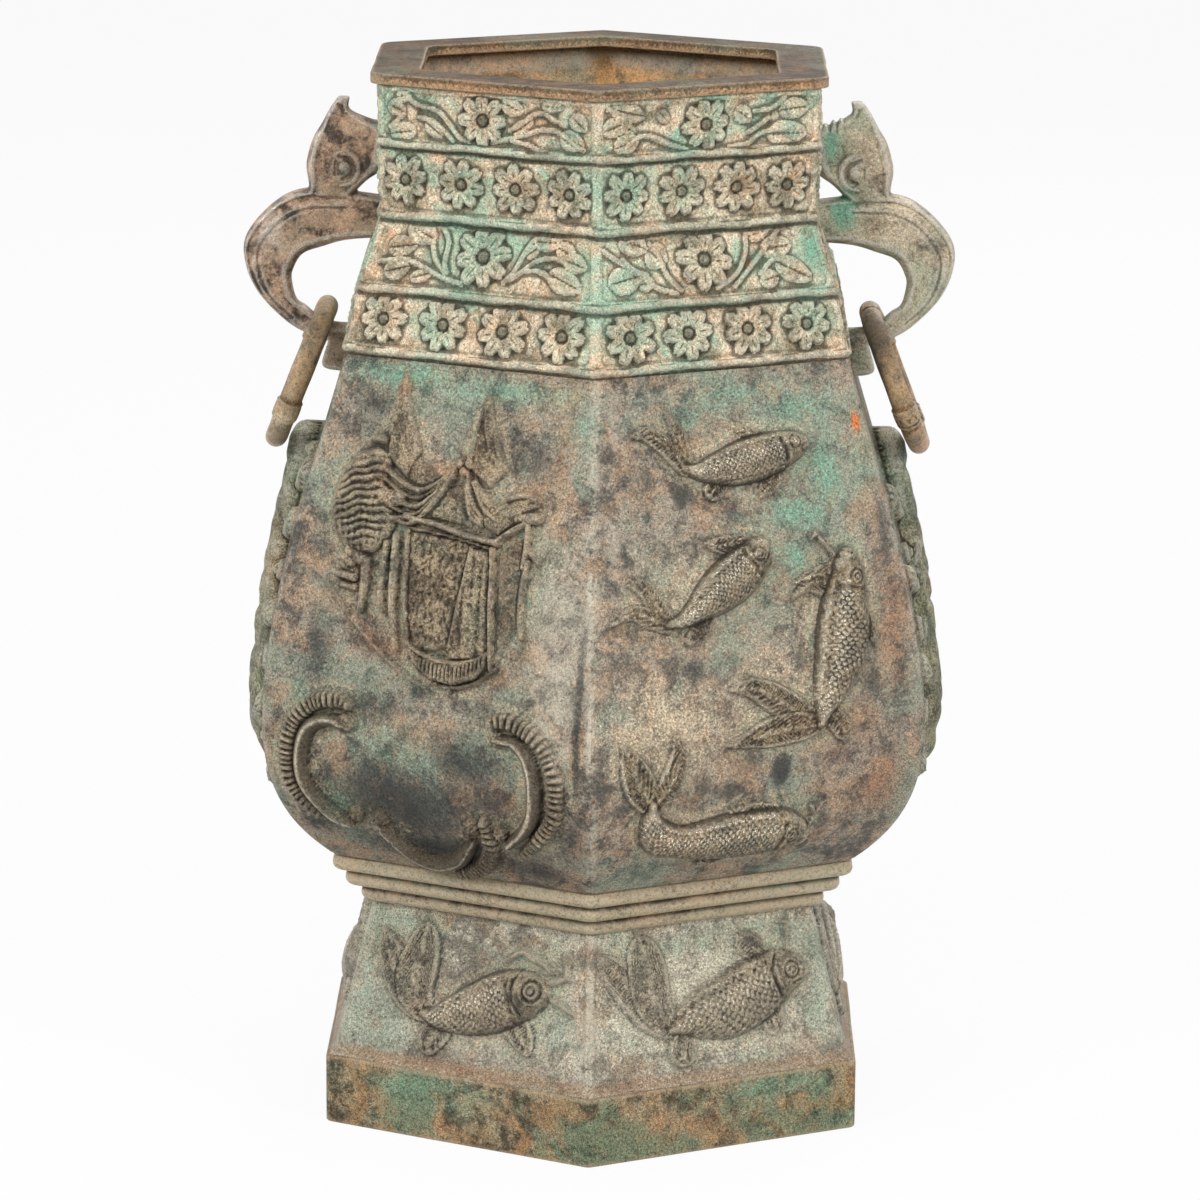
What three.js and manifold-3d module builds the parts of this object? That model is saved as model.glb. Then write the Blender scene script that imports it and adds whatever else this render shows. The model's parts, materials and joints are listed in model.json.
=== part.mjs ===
// Hexagonal bronze vase with two beast handles and two loose rings.
// Millimetres, +Z up, origin at the centre of the foot's underside.
// One ridge of the hexagon points to -Y, two flat side faces point to +X and -X.
import * as THREE from 'three';
import { ConvexGeometry } from 'three/addons/geometries/ConvexGeometry.js';
import { mergeVertices } from 'three/addons/utils/BufferGeometryUtils.js';
import Module from 'manifold-3d';

const wasm = await Module();
wasm.setup();

// Fit between the cast sections
const clearance = 0.3;
const wallThickness = 5;
const spigotThickness = 3.6;

// The hexagon, per unit of its half width
const ridgeReach = 1.04;
const sideReach = 0.52;
const cornerStrip = 3.4;

// Plinth band
const plinthHeight = 30.5;
const plinthHalfWidth = 115.5;
const plinthWall = 6;
const plinthEdge = 0.8;

// Foot with its ledge, framed panels and three rolls
const footHeight = 67.5;
const footSetback = 4.3;
const footHalfWidth = plinthHalfWidth - footSetback;
const footTopHalfWidth = 95.6;
const ledgeHeight = 4.8;
const ledgeProjection = 3.2;
const footSpigotDepth = 6;
const panelMargin = 7.5;
const panelRecess = 1.3;
const rollRadius = 3.8;
const rollHalfWidths = [100.6, 107.2, 112.6];
const collarHalfWidth = 99;
const floorThickness = 4.7;
const bellySpigotDepth = 8;
const floorSeatWidth = 8.6;

// Belly
const bellyHeight = 219.2;
const bellyHalfWidth = 142;
const bellyWidestHeight = 61.2;
const bellyFootHalfWidth = 113.6;
const bellyNeckHalfWidth = 107.5;
const bellySteps = 10;

// The sizes at which the reliefs are drawn: the part's own, so each drawing is used as it is
const bellyDrawn = { bottom: 120.8, top: 340, halfWidth: 142 };
const footDrawn = { bottom: 30.5, top: 98, halfWidth: 114.4 };

// Neck: four bands between raised ribs, from the belly upwards
const bandHeights = [28.5, 30.5, 30.5, 24.7];
const neckHalfWidths = [107.2, 101, 92.2, 92.8, 93.3];
const ribHeight = 5;
const ribProjection = 2.2;
const neckSpigotDepth = 5;

// Lip
const lipThickness = 4.8;
const lipHalfWidth = 96.8;
const mouthHalfWidth = 75.9;
const lipEdge = 1.4;

// Relief work
const reliefSink = 2.2;
const crownWidth = 0.45;
const flankWidth = 0.94;
const flankRise = 0.45;
const fishRelief = 8;
const finRelief = 3.4;
const footFishRelief = 6.6;
const scrollRelief = 7.5;
const flowerRelief = 1.5;
const rockRelief = 11;
const rockTopRise = 3;
const boughRelief = 5.5;
const smallFlowerRadius = 10.4;
const largeFlowerRadius = 12.6;

// Handles and rings
const ringTube = 9.6;
const ringDiameter = 70.4;
const ringLean = 21.4;
const ringClearance = 0.4;
const collarTube = 11;
const collarLength = 9.4;
const collarTurns = [113, -65, -138];
const tailThickness = 10;
const bodyThickness = 15;
const headThickness = 20;
const eyeRadius = 4;
const eyeFlare = 2.4;
const eyeBulge = 1.8;
const eyeReach = 17.1;
const eyeRise = 13.4;
const tenonHeight = 9;
const tenonWidth = 8;

// Heights of the joints between the sections
const footBase = plinthHeight;
const footTop = footBase + footHeight;
const rollCount = rollHalfWidths.length;
const bellyBase = footTop + rollCount * 2 * rollRadius;
const neckBase = bellyBase + bellyHeight;
const neckHeight = bandHeights.reduce((sum, band) => sum + band, 0);
const lipBase = neckBase + neckHeight;

// Solids

function solidOf(geometry) {
  const bare = geometry.clone();
  bare.deleteAttribute('normal');
  bare.deleteAttribute('uv');
  const merged = mergeVertices(bare, 1e-4);
  return new wasm.Manifold(new wasm.Mesh({
    numProp: 3,
    vertProperties: new Float32Array(merged.attributes.position.array),
    triVerts: new Uint32Array(merged.index.array),
  }));
}

function hull(points) {
  return solidOf(new ConvexGeometry(points));
}

function together(solids) {
  return wasm.Manifold.union(solids);
}

// Joins solids to one body and drops the slivers that flush faces leave between them
function join(solids) {
  const bodies = together(solids).decompose();
  return bodies.reduce((largest, body) => (body.volume() > largest.volume() ? body : largest));
}

function meshOf(name, solid, material) {
  const mesh = solid.getMesh();
  const geometry = new THREE.BufferGeometry();
  geometry.setAttribute('position', new THREE.BufferAttribute(mesh.vertProperties, 3));
  geometry.setIndex(new THREE.BufferAttribute(mesh.triVerts, 1));
  geometry.computeVertexNormals();
  const node = new THREE.Mesh(geometry, material);
  node.name = name;
  return node;
}

// The hexagon

const unitCorners = [
  new THREE.Vector2(0, -ridgeReach),
  new THREE.Vector2(1, -sideReach),
  new THREE.Vector2(1, sideReach),
  new THREE.Vector2(0, ridgeReach),
  new THREE.Vector2(-1, sideReach),
  new THREE.Vector2(-1, -sideReach),
];

function hexagonOutline(halfWidth) {
  const corners = unitCorners.map((corner) => corner.clone().multiplyScalar(halfWidth));
  const outline = [];
  corners.forEach((corner, index) => {
    const before = corners[(index + 5) % 6].clone().sub(corner).normalize();
    const after = corners[(index + 1) % 6].clone().sub(corner).normalize();
    const cut = cornerStrip / before.distanceTo(after);
    outline.push(corner.clone().addScaledVector(before, cut));
    outline.push(corner.clone().addScaledVector(after, cut));
  });
  return outline;
}

// Carries a closed profile of [half width, height] points round the hexagon
function sweepHexagon(profile) {
  const positions = [];
  const indices = [];
  for (const [halfWidth, height] of profile) {
    for (const point of hexagonOutline(halfWidth)) {
      positions.push(point.x, point.y, height);
    }
  }
  const ringSize = 12;
  for (let level = 0; level < profile.length; level += 1) {
    const next = (level + 1) % profile.length;
    for (let side = 0; side < ringSize; side += 1) {
      const turn = (side + 1) % ringSize;
      const a = level * ringSize + side;
      const b = level * ringSize + turn;
      const c = next * ringSize + turn;
      const d = next * ringSize + side;
      indices.push(a, b, c, a, c, d);
    }
  }
  const geometry = new THREE.BufferGeometry();
  geometry.setAttribute('position', new THREE.Float32BufferAttribute(positions, 3));
  geometry.setIndex(indices);
  return solidOf(geometry);
}

function prism(outline, bottom, top) {
  const shape = new THREE.Shape(outline);
  const geometry = new THREE.ExtrudeGeometry(shape, { depth: top - bottom, bevelEnabled: false });
  geometry.translate(0, 0, bottom);
  return solidOf(geometry);
}

// Half width of an outline of [half width, height] points, given from the bottom up.
// Its place function carries a point [across, height, ...] of a drawing to the outline's own size.
function surfaceOf(outline, drawn) {
  const surface = (height) => {
    let upper = 1;
    while (upper < outline.length - 1 && outline[upper][1] < height) upper += 1;
    const [w0, z0] = outline[upper - 1];
    const [w1, z1] = outline[upper];
    return w0 + ((w1 - w0) * (height - z0)) / (z1 - z0);
  };
  if (drawn) {
    const bottom = outline[0][1];
    const rise = (outline[outline.length - 1][1] - bottom) / (drawn.top - drawn.bottom);
    const spread = Math.max(...outline.map((point) => point[0])) / drawn.halfWidth;
    surface.place = ([across, height, ...rest]) => [
      across * spread,
      bottom + (height - drawn.bottom) * rise,
      ...rest,
    ];
  }
  return surface;
}

const faceNames = ['frontRight', 'right', 'backRight', 'backLeft', 'left', 'frontLeft'];
const faces = Object.fromEntries(faceNames.map((name, index) => {
  const start = unitCorners[index];
  const end = unitCorners[(index + 1) % 6];
  const along = end.clone().sub(start).normalize();
  const middle = start.clone().add(end).multiplyScalar(0.5);
  const outward = new THREE.Vector2(along.y, -along.x);
  return [name, { along, middle, outward, length: start.distanceTo(end) }];
}));

// A point on a face: across from the middle, at a height, lifted off the surface
function facePoint(face, surface, across, height, lift) {
  const halfWidth = surface(height);
  const slope = (surface(height + 1) - surface(height - 1)) / 2;
  const lean = -slope * face.middle.dot(face.outward);
  const scale = lift / Math.hypot(1, lean);
  return new THREE.Vector3(
    face.middle.x * halfWidth + face.along.x * across + face.outward.x * scale,
    face.middle.y * halfWidth + face.along.y * across + face.outward.y * scale,
    height + lean * scale,
  );
}

// Relief

// A ridge through stations of [across, height, half width]; the share thins its narrow ends.
// A station may give its own lift as a fourth value.
function ridge(face, surface, stations, relief, { share = 0.2, shoulders = false } = {}) {
  const widest = Math.max(...stations.map((station) => station[2]));
  const sections = stations.map(([across, height, half, ownLift], index) => {
    const before = stations[Math.max(index - 1, 0)];
    const after = stations[Math.min(index + 1, stations.length - 1)];
    const turn = Math.atan2(after[1] - before[1], after[0] - before[0]) + Math.PI / 2;
    const lift = ownLift ?? relief * (1 - share + share * Math.sqrt(half / widest));
    const point = (offset, rise) => facePoint(
      face,
      surface,
      across + Math.cos(turn) * offset * half,
      height + Math.sin(turn) * offset * half,
      rise,
    );
    const foot = [point(-1, -reliefSink), point(1, -reliefSink)];
    const flank = [point(-flankWidth, lift * flankRise), point(flankWidth, lift * flankRise)];
    const crown = [point(-crownWidth, lift), point(crownWidth, lift)];
    return shoulders ? [...foot, ...flank, ...crown] : [...foot, ...crown];
  });
  const pieces = [];
  for (let index = 1; index < sections.length; index += 1) {
    pieces.push(hull([...sections[index - 1], ...sections[index]]));
  }
  return pieces;
}

// A flat-topped block over a convex outline of [across, height] points, drawn in a little at its top
function block(face, surface, outline, relief, draft = 0.12) {
  const middle = outline.reduce((sum, point) => [sum[0] + point[0], sum[1] + point[1]], [0, 0])
    .map((sum) => sum / outline.length);
  const points = [];
  for (const [across, height] of outline) {
    points.push(facePoint(face, surface, across, height, -reliefSink));
    points.push(facePoint(
      face,
      surface,
      across + (middle[0] - across) * draft,
      height + (middle[1] - height) * draft,
      relief,
    ));
  }
  return [hull(points)];
}

// A flower of eight petals; the small ones keep only the petals' tips
function flower(face, surface, across, height, radius, notched) {
  const petals = 8;
  const notchDepth = 0.74;
  const outline = [];
  for (let index = 0; index < petals; index += 1) {
    const angle = ((index + 0.5) * 2 * Math.PI) / petals;
    outline.push(new THREE.Vector2(Math.cos(angle), Math.sin(angle)).multiplyScalar(radius));
    if (notched) {
      const notch = angle + Math.PI / petals;
      outline.push(new THREE.Vector2(Math.cos(notch), Math.sin(notch)).multiplyScalar(radius * notchDepth));
    }
  }
  const geometry = new THREE.ExtrudeGeometry(new THREE.Shape(outline), {
    depth: reliefSink + flowerRelief,
    bevelEnabled: false,
  });
  const position = geometry.attributes.position;
  for (let index = 0; index < position.count; index += 1) {
    const point = facePoint(
      face,
      surface,
      across + position.getX(index),
      height + position.getY(index),
      position.getZ(index) - reliefSink,
    );
    position.setXYZ(index, point.x, point.y, point.z);
  }
  return [solidOf(geometry)];
}

// Fish, each drawn as [across, height, half width] stations on its panel

const bellyFish = [
  {
    body: [[-24.6, 303.2, 2.2], [-18, 301, 4.5], [-8, 301, 8],
      [7, 302, 10.6], [21.5, 305, 8.6], [31.5, 307, 5]],
    fins: [
      [[-30, 324, 0.6], [-25.5, 316, 2.2], [-23.5, 304, 2]],
      [[-47, 316, 0.6], [-35, 314, 2.2], [-24, 304, 2]],
      [[-13, 291, 1.6], [-9, 296, 3]],
      [[8.5, 289, 1.4], [15, 296, 3.6]],
    ],
  },
  {
    body: [[-41.5, 239.4, 2.2], [-32, 243, 4.4], [-25, 247, 7],
      [-14.4, 252.7, 11], [-2.3, 258.6, 10], [6, 264, 6.5]],
    fins: [
      [[-56, 257, 0.9], [-48.5, 251, 2.4], [-41.5, 240, 2]],
      [[-66, 242.5, 0.6], [-54, 244, 2.2], [-41.5, 239, 2]],
      [[-30, 233, 1.6], [-23, 238, 2.6]],
      [[-15, 271, 0.8], [-3, 268, 2.6]],
    ],
  },
  {
    body: [[27, 191.5, 2.4], [31, 201, 6], [37, 214, 11.6],
      [40.6, 229.5, 13.6], [44, 243, 11.2], [47.5, 256, 6.5]],
    fins: [
      [[-12, 209.5, 0.9], [3, 206, 3.2], [15, 199, 3.8], [27, 191.6, 2.4]],
      [[-16, 187, 0.7], [2, 187.5, 3.2], [16, 189, 3.8], [27, 191, 2.4]],
      [[40.5, 184, 1.2], [36, 192, 3]],
      [[21.5, 248, 0.8], [36, 250, 3.6]],
      [[36.5, 270, 0.8], [40, 257, 2.2]],
    ],
  },
  {
    body: [[-50.5, 162.5, 3.4], [-49, 153, 6.2], [-38, 146.6, 6.8], [-25, 145.5, 8.4], [-7, 145.6, 10.4],
      [10, 145, 10], [22.5, 144, 6]],
    fins: [
      [[-65, 191, 0.7], [-58, 179, 3.4], [-50.5, 162, 3.4]],
      [[-42, 194.5, 0.7], [-41, 181, 2.8], [-48.5, 164, 3.4]],
    ],
  },
];

const footFish = {
  body: [[-25, 56, 2.4], [-15, 57, 5], [-3, 60.5, 8.6], [11, 64, 10.6], [26, 68.5, 9.4], [39, 71, 5]],
  fins: [
    [[-50, 86, 0.8], [-38, 77.5, 3.2], [-25.5, 57, 2.4]],
    [[-27, 91, 0.8], [-25, 78, 2.6], [-24.5, 58, 2.4]],
    [[-15, 44, 1.2], [-6, 52, 3]],
    [[12, 88, 1.2], [18, 78, 3.4]],
    [[34, 47, 1.2], [26, 58, 3]],
  ],
};

function fish(face, surface, drawing, relief) {
  const fins = drawing.fins.flatMap((fin) => ridge(face, surface, fin.map(surface.place), finRelief));
  const body = drawing.body.map(surface.place);
  return [...ridge(face, surface, body, relief, { share: 0.55, shoulders: true }), ...fins];
}

// The pavilion with its ribbed canopy, curtains and posts
function pavilion(face, surface) {
  const bar = (stations, relief) => ridge(face, surface, stations.map(surface.place), relief);
  const slab = (outline, relief, draft) => block(face, surface, outline.map(surface.place), relief, draft);
  const pieces = [];
  const canopyRibs = 7;
  const canopyTop = 302;
  const canopyStep = 6.2;
  for (let index = 0; index < canopyRibs; index += 1) {
    const rise = (index + 0.5) / canopyRibs;
    const bulge = Math.sin(Math.PI * (0.18 + 0.72 * rise));
    const height = canopyTop - index * canopyStep;
    const left = -38 - 17 * bulge;
    const right = -22 + 3 * Math.cos(2 * Math.PI * rise);
    pieces.push(...bar([[left, height - 1.5, 2.2], [right, height, 2.2]], 5.6));
  }
  pieces.push(...slab([[-40, 306], [-25, 306], [-26, 256], [-42, 256]], 3.4));
  pieces.push(...slab([[-37, 310], [-28, 310], [-28, 305], [-37, 305]], 4));
  const spires = [[-26, 332, -25.5, 308], [13, 324, 15, 302]];
  for (const [tipAcross, tipHeight, footAcross, spireFoot] of spires) {
    pieces.push(...bar([[tipAcross, tipHeight, 2], [footAcross, spireFoot, 5.2]], 4.2));
  }
  const roofs = [
    [[-29, 292, 1.8], [-12, 287.5, 2], [5, 297, 1.8]],
    [[-24, 281.5, 1.8], [-10, 282.5, 2], [4, 292, 1.8]],
    [[8, 296, 1.8], [16, 278, 2], [28, 275.5, 2], [40, 284, 1.8]],
    [[13, 297, 1.6], [20, 289, 1.8], [28, 285, 1.8]],
    [[-12, 275, 2], [28, 274, 2]],
  ];
  pieces.push(...roofs.flatMap((stations) => bar(stations, 5)));
  const knobs = [[8, 300, 4], [34, 287.5, 4.4], [44, 286.5, 4.4]];
  for (const [across, height, half] of knobs) {
    pieces.push(...bar([[across - half, height, 2.4], [across + half, height, 2.4]], 6));
  }
  pieces.push(...slab([[-14, 272], [25, 272], [29.5, 224], [-8, 223]], 4.2, 0.05));
  pieces.push(...slab([[-8, 224], [29, 225], [26, 215], [14, 210.5], [-2, 213]], 6.4, 0.06));
  const posts = [
    [[-24, 268, 2.2], [-22.5, 238, 1.2]],
    [[-20, 270, 2.2], [-13, 222, 1.2]],
    [[14, 268, 2], [12, 228, 2]],
    [[27, 271, 1.8], [32, 219, 1.6]],
    [[42, 281, 2], [45, 237, 1.4]],
  ];
  pieces.push(...posts.flatMap((stations) => bar(stations, 5.6)));
  return pieces;
}

// Three scrolls, each a smooth tube with a ribbed crest beside it
const scrolls = [
  {
    tube: [[-38, 187], [-50, 188], [-59, 177], [-59, 161], [-50, 149], [-36, 144]],
    crest: [[-42, 199], [-55, 194], [-65, 180], [-67, 163]],
  },
  {
    tube: [[-22, 150], [-10, 134.5], [4, 131], [16, 136], [18, 150]],
    crest: [[25, 148], [26, 136], [5, 125.5]],
  },
  {
    tube: [[36, 191], [47, 190], [54, 177], [53, 162], [45, 149.5], [33, 149]],
    crest: [[41, 200], [55, 193], [65, 174], [51, 150]],
  },
];
const scrollTubeHalf = 3.6;
const scrollCrestHalf = 4;
const scrollKnobHalf = 5.4;

function scrollWork(face, surface) {
  return scrolls.flatMap((scroll) => {
    const tube = scroll.tube.map(surface.place);
    const crest = scroll.crest.map(surface.place);
    const first = tube[0];
    const last = tube[tube.length - 1];
    const reach = scrollKnobHalf / 2;
    const knobs = [first, last].flatMap(([across, height]) => ridge(face, surface, [
      [across - reach, height, scrollKnobHalf],
      [across + reach, height, scrollKnobHalf],
    ], scrollRelief));
    return [
      ...ridge(face, surface, tube.map((point) => [...point, scrollTubeHalf]), scrollRelief),
      ...ridge(face, surface, crest.map((point) => [...point, scrollCrestHalf]), scrollRelief * 0.6),
      ...knobs,
    ];
  });
}

// A tall rock with pines on each side face; its top carries the leaning ring
function rockery(face, surface) {
  const perch = ringPerch();
  const shaft = [
    [-4, 250, 17, 11.5],
    [4, 228, 20, 10.5],
    [0, 203, 23, 10],
    [0, 180, 24, 12],
    [0, 160, 19, 11.5],
    [0, 149, 10, 8],
  ];
  const trunk = [
    [0, perch.height + rockTopRise, 8, perch.lift],
    [0, perch.height - 14, 14, perch.lift],
    ...shaft.map(surface.place),
  ];
  const boughs = [
    [[-9, 262, 5], [-34, 274, 3.4]],
    [[10, 252, 5], [38, 262, 3.4]],
    [[-12, 232, 6], [-46, 241, 4]],
    [[14, 214, 6], [50, 224, 4]],
    [[-14, 196, 7], [-54, 202, 5]],
    [[14, 178, 7], [54, 184, 5]],
    [[-12, 162, 6], [-48, 160, 4]],
  ];
  return [
    ...ridge(face, surface, trunk, rockRelief, { shoulders: true }),
    ...boughs.flatMap((bough) => ridge(face, surface, bough.map(surface.place), boughRelief)),
  ];
}

// Where the wall's face lies behind the ring's lowest point, and how far the rock must reach
function ringPerch() {
  const lean = THREE.MathUtils.degToRad(ringLean);
  const drop = ringDiameter - ringTube;
  const foot = { x: ringPivot.x + Math.sin(lean) * drop, z: ringPivot.z - Math.cos(lean) * drop };
  let height = foot.z;
  let distance = 0;
  for (let round = 0; round < 12; round += 1) {
    const slope = -(bellySurface(height + 1) - bellySurface(height - 1)) / 2;
    distance = Math.hypot(foot.x - bellySurface(height), foot.z - height);
    height = foot.z - (slope * distance) / Math.hypot(1, slope);
  }
  return { height, lift: distance - ringTube / 2 - ringClearance };
}

// Outlines of the sections, from the bottom up

function offsetOutline(outline, distance) {
  return outline.map(([halfWidth, height]) => [halfWidth + distance, height]);
}

const footOutline = [
  [footHalfWidth + ledgeProjection, footBase],
  [footHalfWidth, footBase + ledgeHeight],
  [footTopHalfWidth, footTop],
];

function rollOutline() {
  const steps = 4;
  const points = [];
  rollHalfWidths.forEach((crest, index) => {
    const middle = footTop + (2 * index + 1) * rollRadius;
    for (let step = 0; step <= steps; step += 1) {
      const angle = (step / steps - 0.5) * Math.PI;
      const reach = crest - rollRadius + Math.cos(angle) * rollRadius;
      points.push([reach, middle + Math.sin(angle) * rollRadius]);
    }
  });
  return points;
}

function bellyOutline() {
  const widest = bellyBase + bellyWidestHeight;
  const upper = neckBase - widest;
  const swell = bellyHalfWidth - bellyNeckHalfWidth;
  const above = new THREE.CubicBezierCurve(
    new THREE.Vector2(bellyHalfWidth, widest),
    new THREE.Vector2(bellyHalfWidth, widest + upper * 0.34),
    new THREE.Vector2(bellyNeckHalfWidth + swell * 0.3, widest + upper * 0.73),
    new THREE.Vector2(bellyNeckHalfWidth, neckBase),
  );
  const tuck = bellyHalfWidth - bellyFootHalfWidth;
  const below = new THREE.CubicBezierCurve(
    new THREE.Vector2(bellyFootHalfWidth, bellyBase),
    new THREE.Vector2(bellyFootHalfWidth + tuck * 0.5, bellyBase + bellyWidestHeight * 0.2),
    new THREE.Vector2(bellyHalfWidth, bellyBase + bellyWidestHeight * 0.48),
    new THREE.Vector2(bellyHalfWidth, widest),
  );
  const lowerSteps = Math.round(bellySteps * 0.45);
  const points = [...below.getPoints(lowerSteps), ...above.getPoints(bellySteps - lowerSteps).slice(1)];
  return points.map((point) => [point.x, point.y]);
}

const bellyLine = bellyOutline();
const bellySurface = surfaceOf(bellyLine, bellyDrawn);
const footSurface = surfaceOf(footOutline, footDrawn);

const ribLevels = [neckBase];
for (const band of bandHeights) ribLevels.push(ribLevels[ribLevels.length - 1] + band);
const neckLine = ribLevels.map((height, index) => [neckHalfWidths[index], height]);
const neckSurface = surfaceOf(neckLine);

function neckOutline() {
  const shoulder = ribHeight * 0.2;
  const crown = ribHeight * 0.6;
  const points = [[neckHalfWidths[0] + ribProjection, neckBase]];
  points.push([neckHalfWidths[0] + ribProjection, neckBase + crown]);
  points.push([neckSurface(neckBase + ribHeight * 0.8), neckBase + ribHeight * 0.8]);
  for (const level of ribLevels.slice(1, -1)) {
    const bottom = level - ribHeight / 2;
    points.push([neckSurface(bottom), bottom]);
    points.push([neckSurface(level) + ribProjection, bottom + shoulder]);
    points.push([neckSurface(level) + ribProjection, bottom + shoulder + crown]);
    points.push([neckSurface(bottom + ribHeight), bottom + ribHeight]);
  }
  points.push([neckSurface(lipBase), lipBase]);
  return points;
}

// Sections of the vessel

const bronze = (color, roughness) => new THREE.MeshStandardMaterial({ color, roughness, metalness: 0.85 });

function plinthBand() {
  return sweepHexagon([
    [plinthHalfWidth - plinthEdge, 0],
    [plinthHalfWidth, plinthEdge],
    [plinthHalfWidth, plinthHeight - plinthEdge],
    [plinthHalfWidth - plinthEdge, plinthHeight],
    [plinthHalfWidth - plinthWall, plinthHeight],
    [plinthHalfWidth - plinthWall, 0],
  ]);
}

function footPanels() {
  return faceNames.map((name) => {
    const face = faces[name];
    const bottom = footBase + ledgeHeight + panelMargin * 0.6;
    const top = footTop - panelMargin;
    const points = [];
    for (const height of [bottom, top]) {
      const half = (face.length * footSurface(height)) / 2 - panelMargin;
      for (const across of [-half, half]) {
        points.push(facePoint(face, footSurface, across, height, -panelRecess));
        points.push(facePoint(face, footSurface, across + Math.sign(across), height, panelRecess));
      }
    }
    return hull(points);
  });
}

const floorLevel = bellyBase - bellySpigotDepth - floorThickness;

function footSection() {
  const spigot = plinthHalfWidth - plinthWall - clearance;
  const inner = spigot - spigotThickness;
  const shell = sweepHexagon([
    [spigot, footBase - footSpigotDepth],
    [spigot, footBase],
    ...footOutline,
    ...rollOutline(),
    [collarHalfWidth, bellyBase],
    [collarHalfWidth, floorLevel],
    [collarHalfWidth - floorSeatWidth, floorLevel],
    [footTopHalfWidth - wallThickness, footTop],
    [inner, footBase + ledgeHeight],
    [inner, footBase - footSpigotDepth],
  ]);
  const panels = together(footPanels());
  const reliefs = faceNames.flatMap((name) => fish(faces[name], footSurface, footFish, footFishRelief));
  return join([shell.subtract(panels), ...reliefs]);
}

function floorPlate() {
  return prism(
    hexagonOutline(collarHalfWidth - clearance),
    floorLevel,
    floorLevel + floorThickness - clearance,
  );
}

function bellySection() {
  const spigot = collarHalfWidth - clearance;
  const inner = offsetOutline(bellyLine, -wallThickness).reverse();
  const seat = bellyBase + wallThickness;
  const shell = sweepHexagon([
    [spigot, bellyBase - bellySpigotDepth],
    [spigot, bellyBase],
    ...bellyLine,
    ...inner.filter((point) => point[1] > seat),
    [bellySurface(seat) - wallThickness, seat],
    [spigot - spigotThickness, seat - 1],
    [spigot - spigotThickness, bellyBase - bellySpigotDepth],
  ]);
  const reliefs = [];
  for (const name of ['frontRight', 'backLeft']) {
    for (const drawing of bellyFish) reliefs.push(...fish(faces[name], bellySurface, drawing, fishRelief));
  }
  for (const name of ['frontLeft', 'backRight']) {
    reliefs.push(...pavilion(faces[name], bellySurface), ...scrollWork(faces[name], bellySurface));
  }
  for (const name of ['left', 'right']) reliefs.push(...rockery(faces[name], bellySurface));
  return join([shell, ...reliefs]).subtract(handleSockets());
}

function neckSection() {
  const spigot = bellyNeckHalfWidth - wallThickness - clearance;
  const inner = spigot - spigotThickness;
  const shell = sweepHexagon([
    [spigot, neckBase - neckSpigotDepth],
    [spigot, neckBase],
    ...neckOutline(),
    ...[4, 3, 2, 1].map((index) => [neckHalfWidths[index] - wallThickness, ribLevels[index]]),
    [inner, neckBase + ribHeight],
    [inner, neckBase - neckSpigotDepth],
  ]);
  const middles = bandHeights.map((band, index) => ribLevels[index] + band / 2);
  const reliefs = [];
  for (const name of faceNames) {
    const face = faces[name];
    const behindHandle = name === 'left' || name === 'right';
    for (const index of [0, 2]) {
      const half = (face.length * neckSurface(middles[index])) / 2;
      const places = behindHandle ? [-0.55, 0.55] : [-0.76, -0.25, 0.25, 0.76];
      for (const place of places) {
        reliefs.push(...flower(face, neckSurface, place * half, middles[index], smallFlowerRadius, false));
      }
    }
    if (!behindHandle) {
      reliefs.push(...flower(face, neckSurface, 0, middles[1], largeFlowerRadius, true));
      reliefs.push(...flower(face, neckSurface, 0, middles[3] + 0.4, smallFlowerRadius - 0.6, true));
    }
  }
  return join([shell, ...reliefs]).subtract(handleSockets());
}

function lipPlate() {
  const spigot = neckHalfWidths[4] - wallThickness - clearance;
  return sweepHexagon([
    [spigot, lipBase - neckSpigotDepth],
    [spigot, lipBase],
    [lipHalfWidth - lipEdge, lipBase],
    [lipHalfWidth, lipBase + lipEdge],
    [lipHalfWidth, lipBase + lipThickness - lipEdge],
    [lipHalfWidth - lipEdge, lipBase + lipThickness],
    [mouthHalfWidth + lipEdge, lipBase + lipThickness],
    [mouthHalfWidth, lipBase + lipThickness - lipEdge],
    [mouthHalfWidth, lipBase],
    [spigot - spigotThickness, lipBase],
    [spigot - spigotThickness, lipBase - neckSpigotDepth],
  ]);
}

// Handles: drawn in the plane of X and Z for the right-hand side

const headLevel = ribLevels[2];
const tailLevel = neckBase;
const neckWall = neckHalfWidths[2];

// Each slice runs from an inner to an outer point [beyond the neck wall, above the level of rib two]
const headSlices = [
  [[15.4, 43], [20.4, 43], 0.3],
  [[15.4, 37.4], [24.2, 37.4], 0.5],
  [[6, 33], [27.3, 31.5], 0.72],
  [[-2, 31], [31.2, 25], 0.92],
  [[-2, 22], [33.6, 17], 1],
  [[1, 12.5], [34, 12], 1],
  [[8, 7], [33, 4], 0.86],
  [[14, 1], [35.5, 0], 0.75],
];
const bodySlices = [
  [[-4, -17.5], [-4, -0.6], 1],
  [[16, -19], [17, 2], 1],
  [[27, -22], [36, 2.6], 1],
  [[36, -25.5], [49, -4], 0.98],
  [[40.3, -33], [60.2, -17.5], 0.94],
  [[40.6, -38], [60.4, -30.5], 0.88],
  [[38.5, -45.5], [54.6, -43], 0.8],
];
const tailSlices = [
  [[34.2, 10.5], [43.4, 4.4], 1],
  [[28.6, 5.5], [33.6, -1.4], 1],
  [[24, 4.4], [25, -4.2], 1],
  [[21.5, 3.6], [27, -16], 1.1],
  [[8, 3], [9, -18], 1.2],
];

// The tail's top under the ring fixes where the ring hangs
const ringReach = 25.3;
const tailTop = 4.9;
const ringPivot = {
  x: neckWall + ringReach,
  z: tailLevel + tailTop + ringTube / 2 + ringClearance,
};

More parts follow.
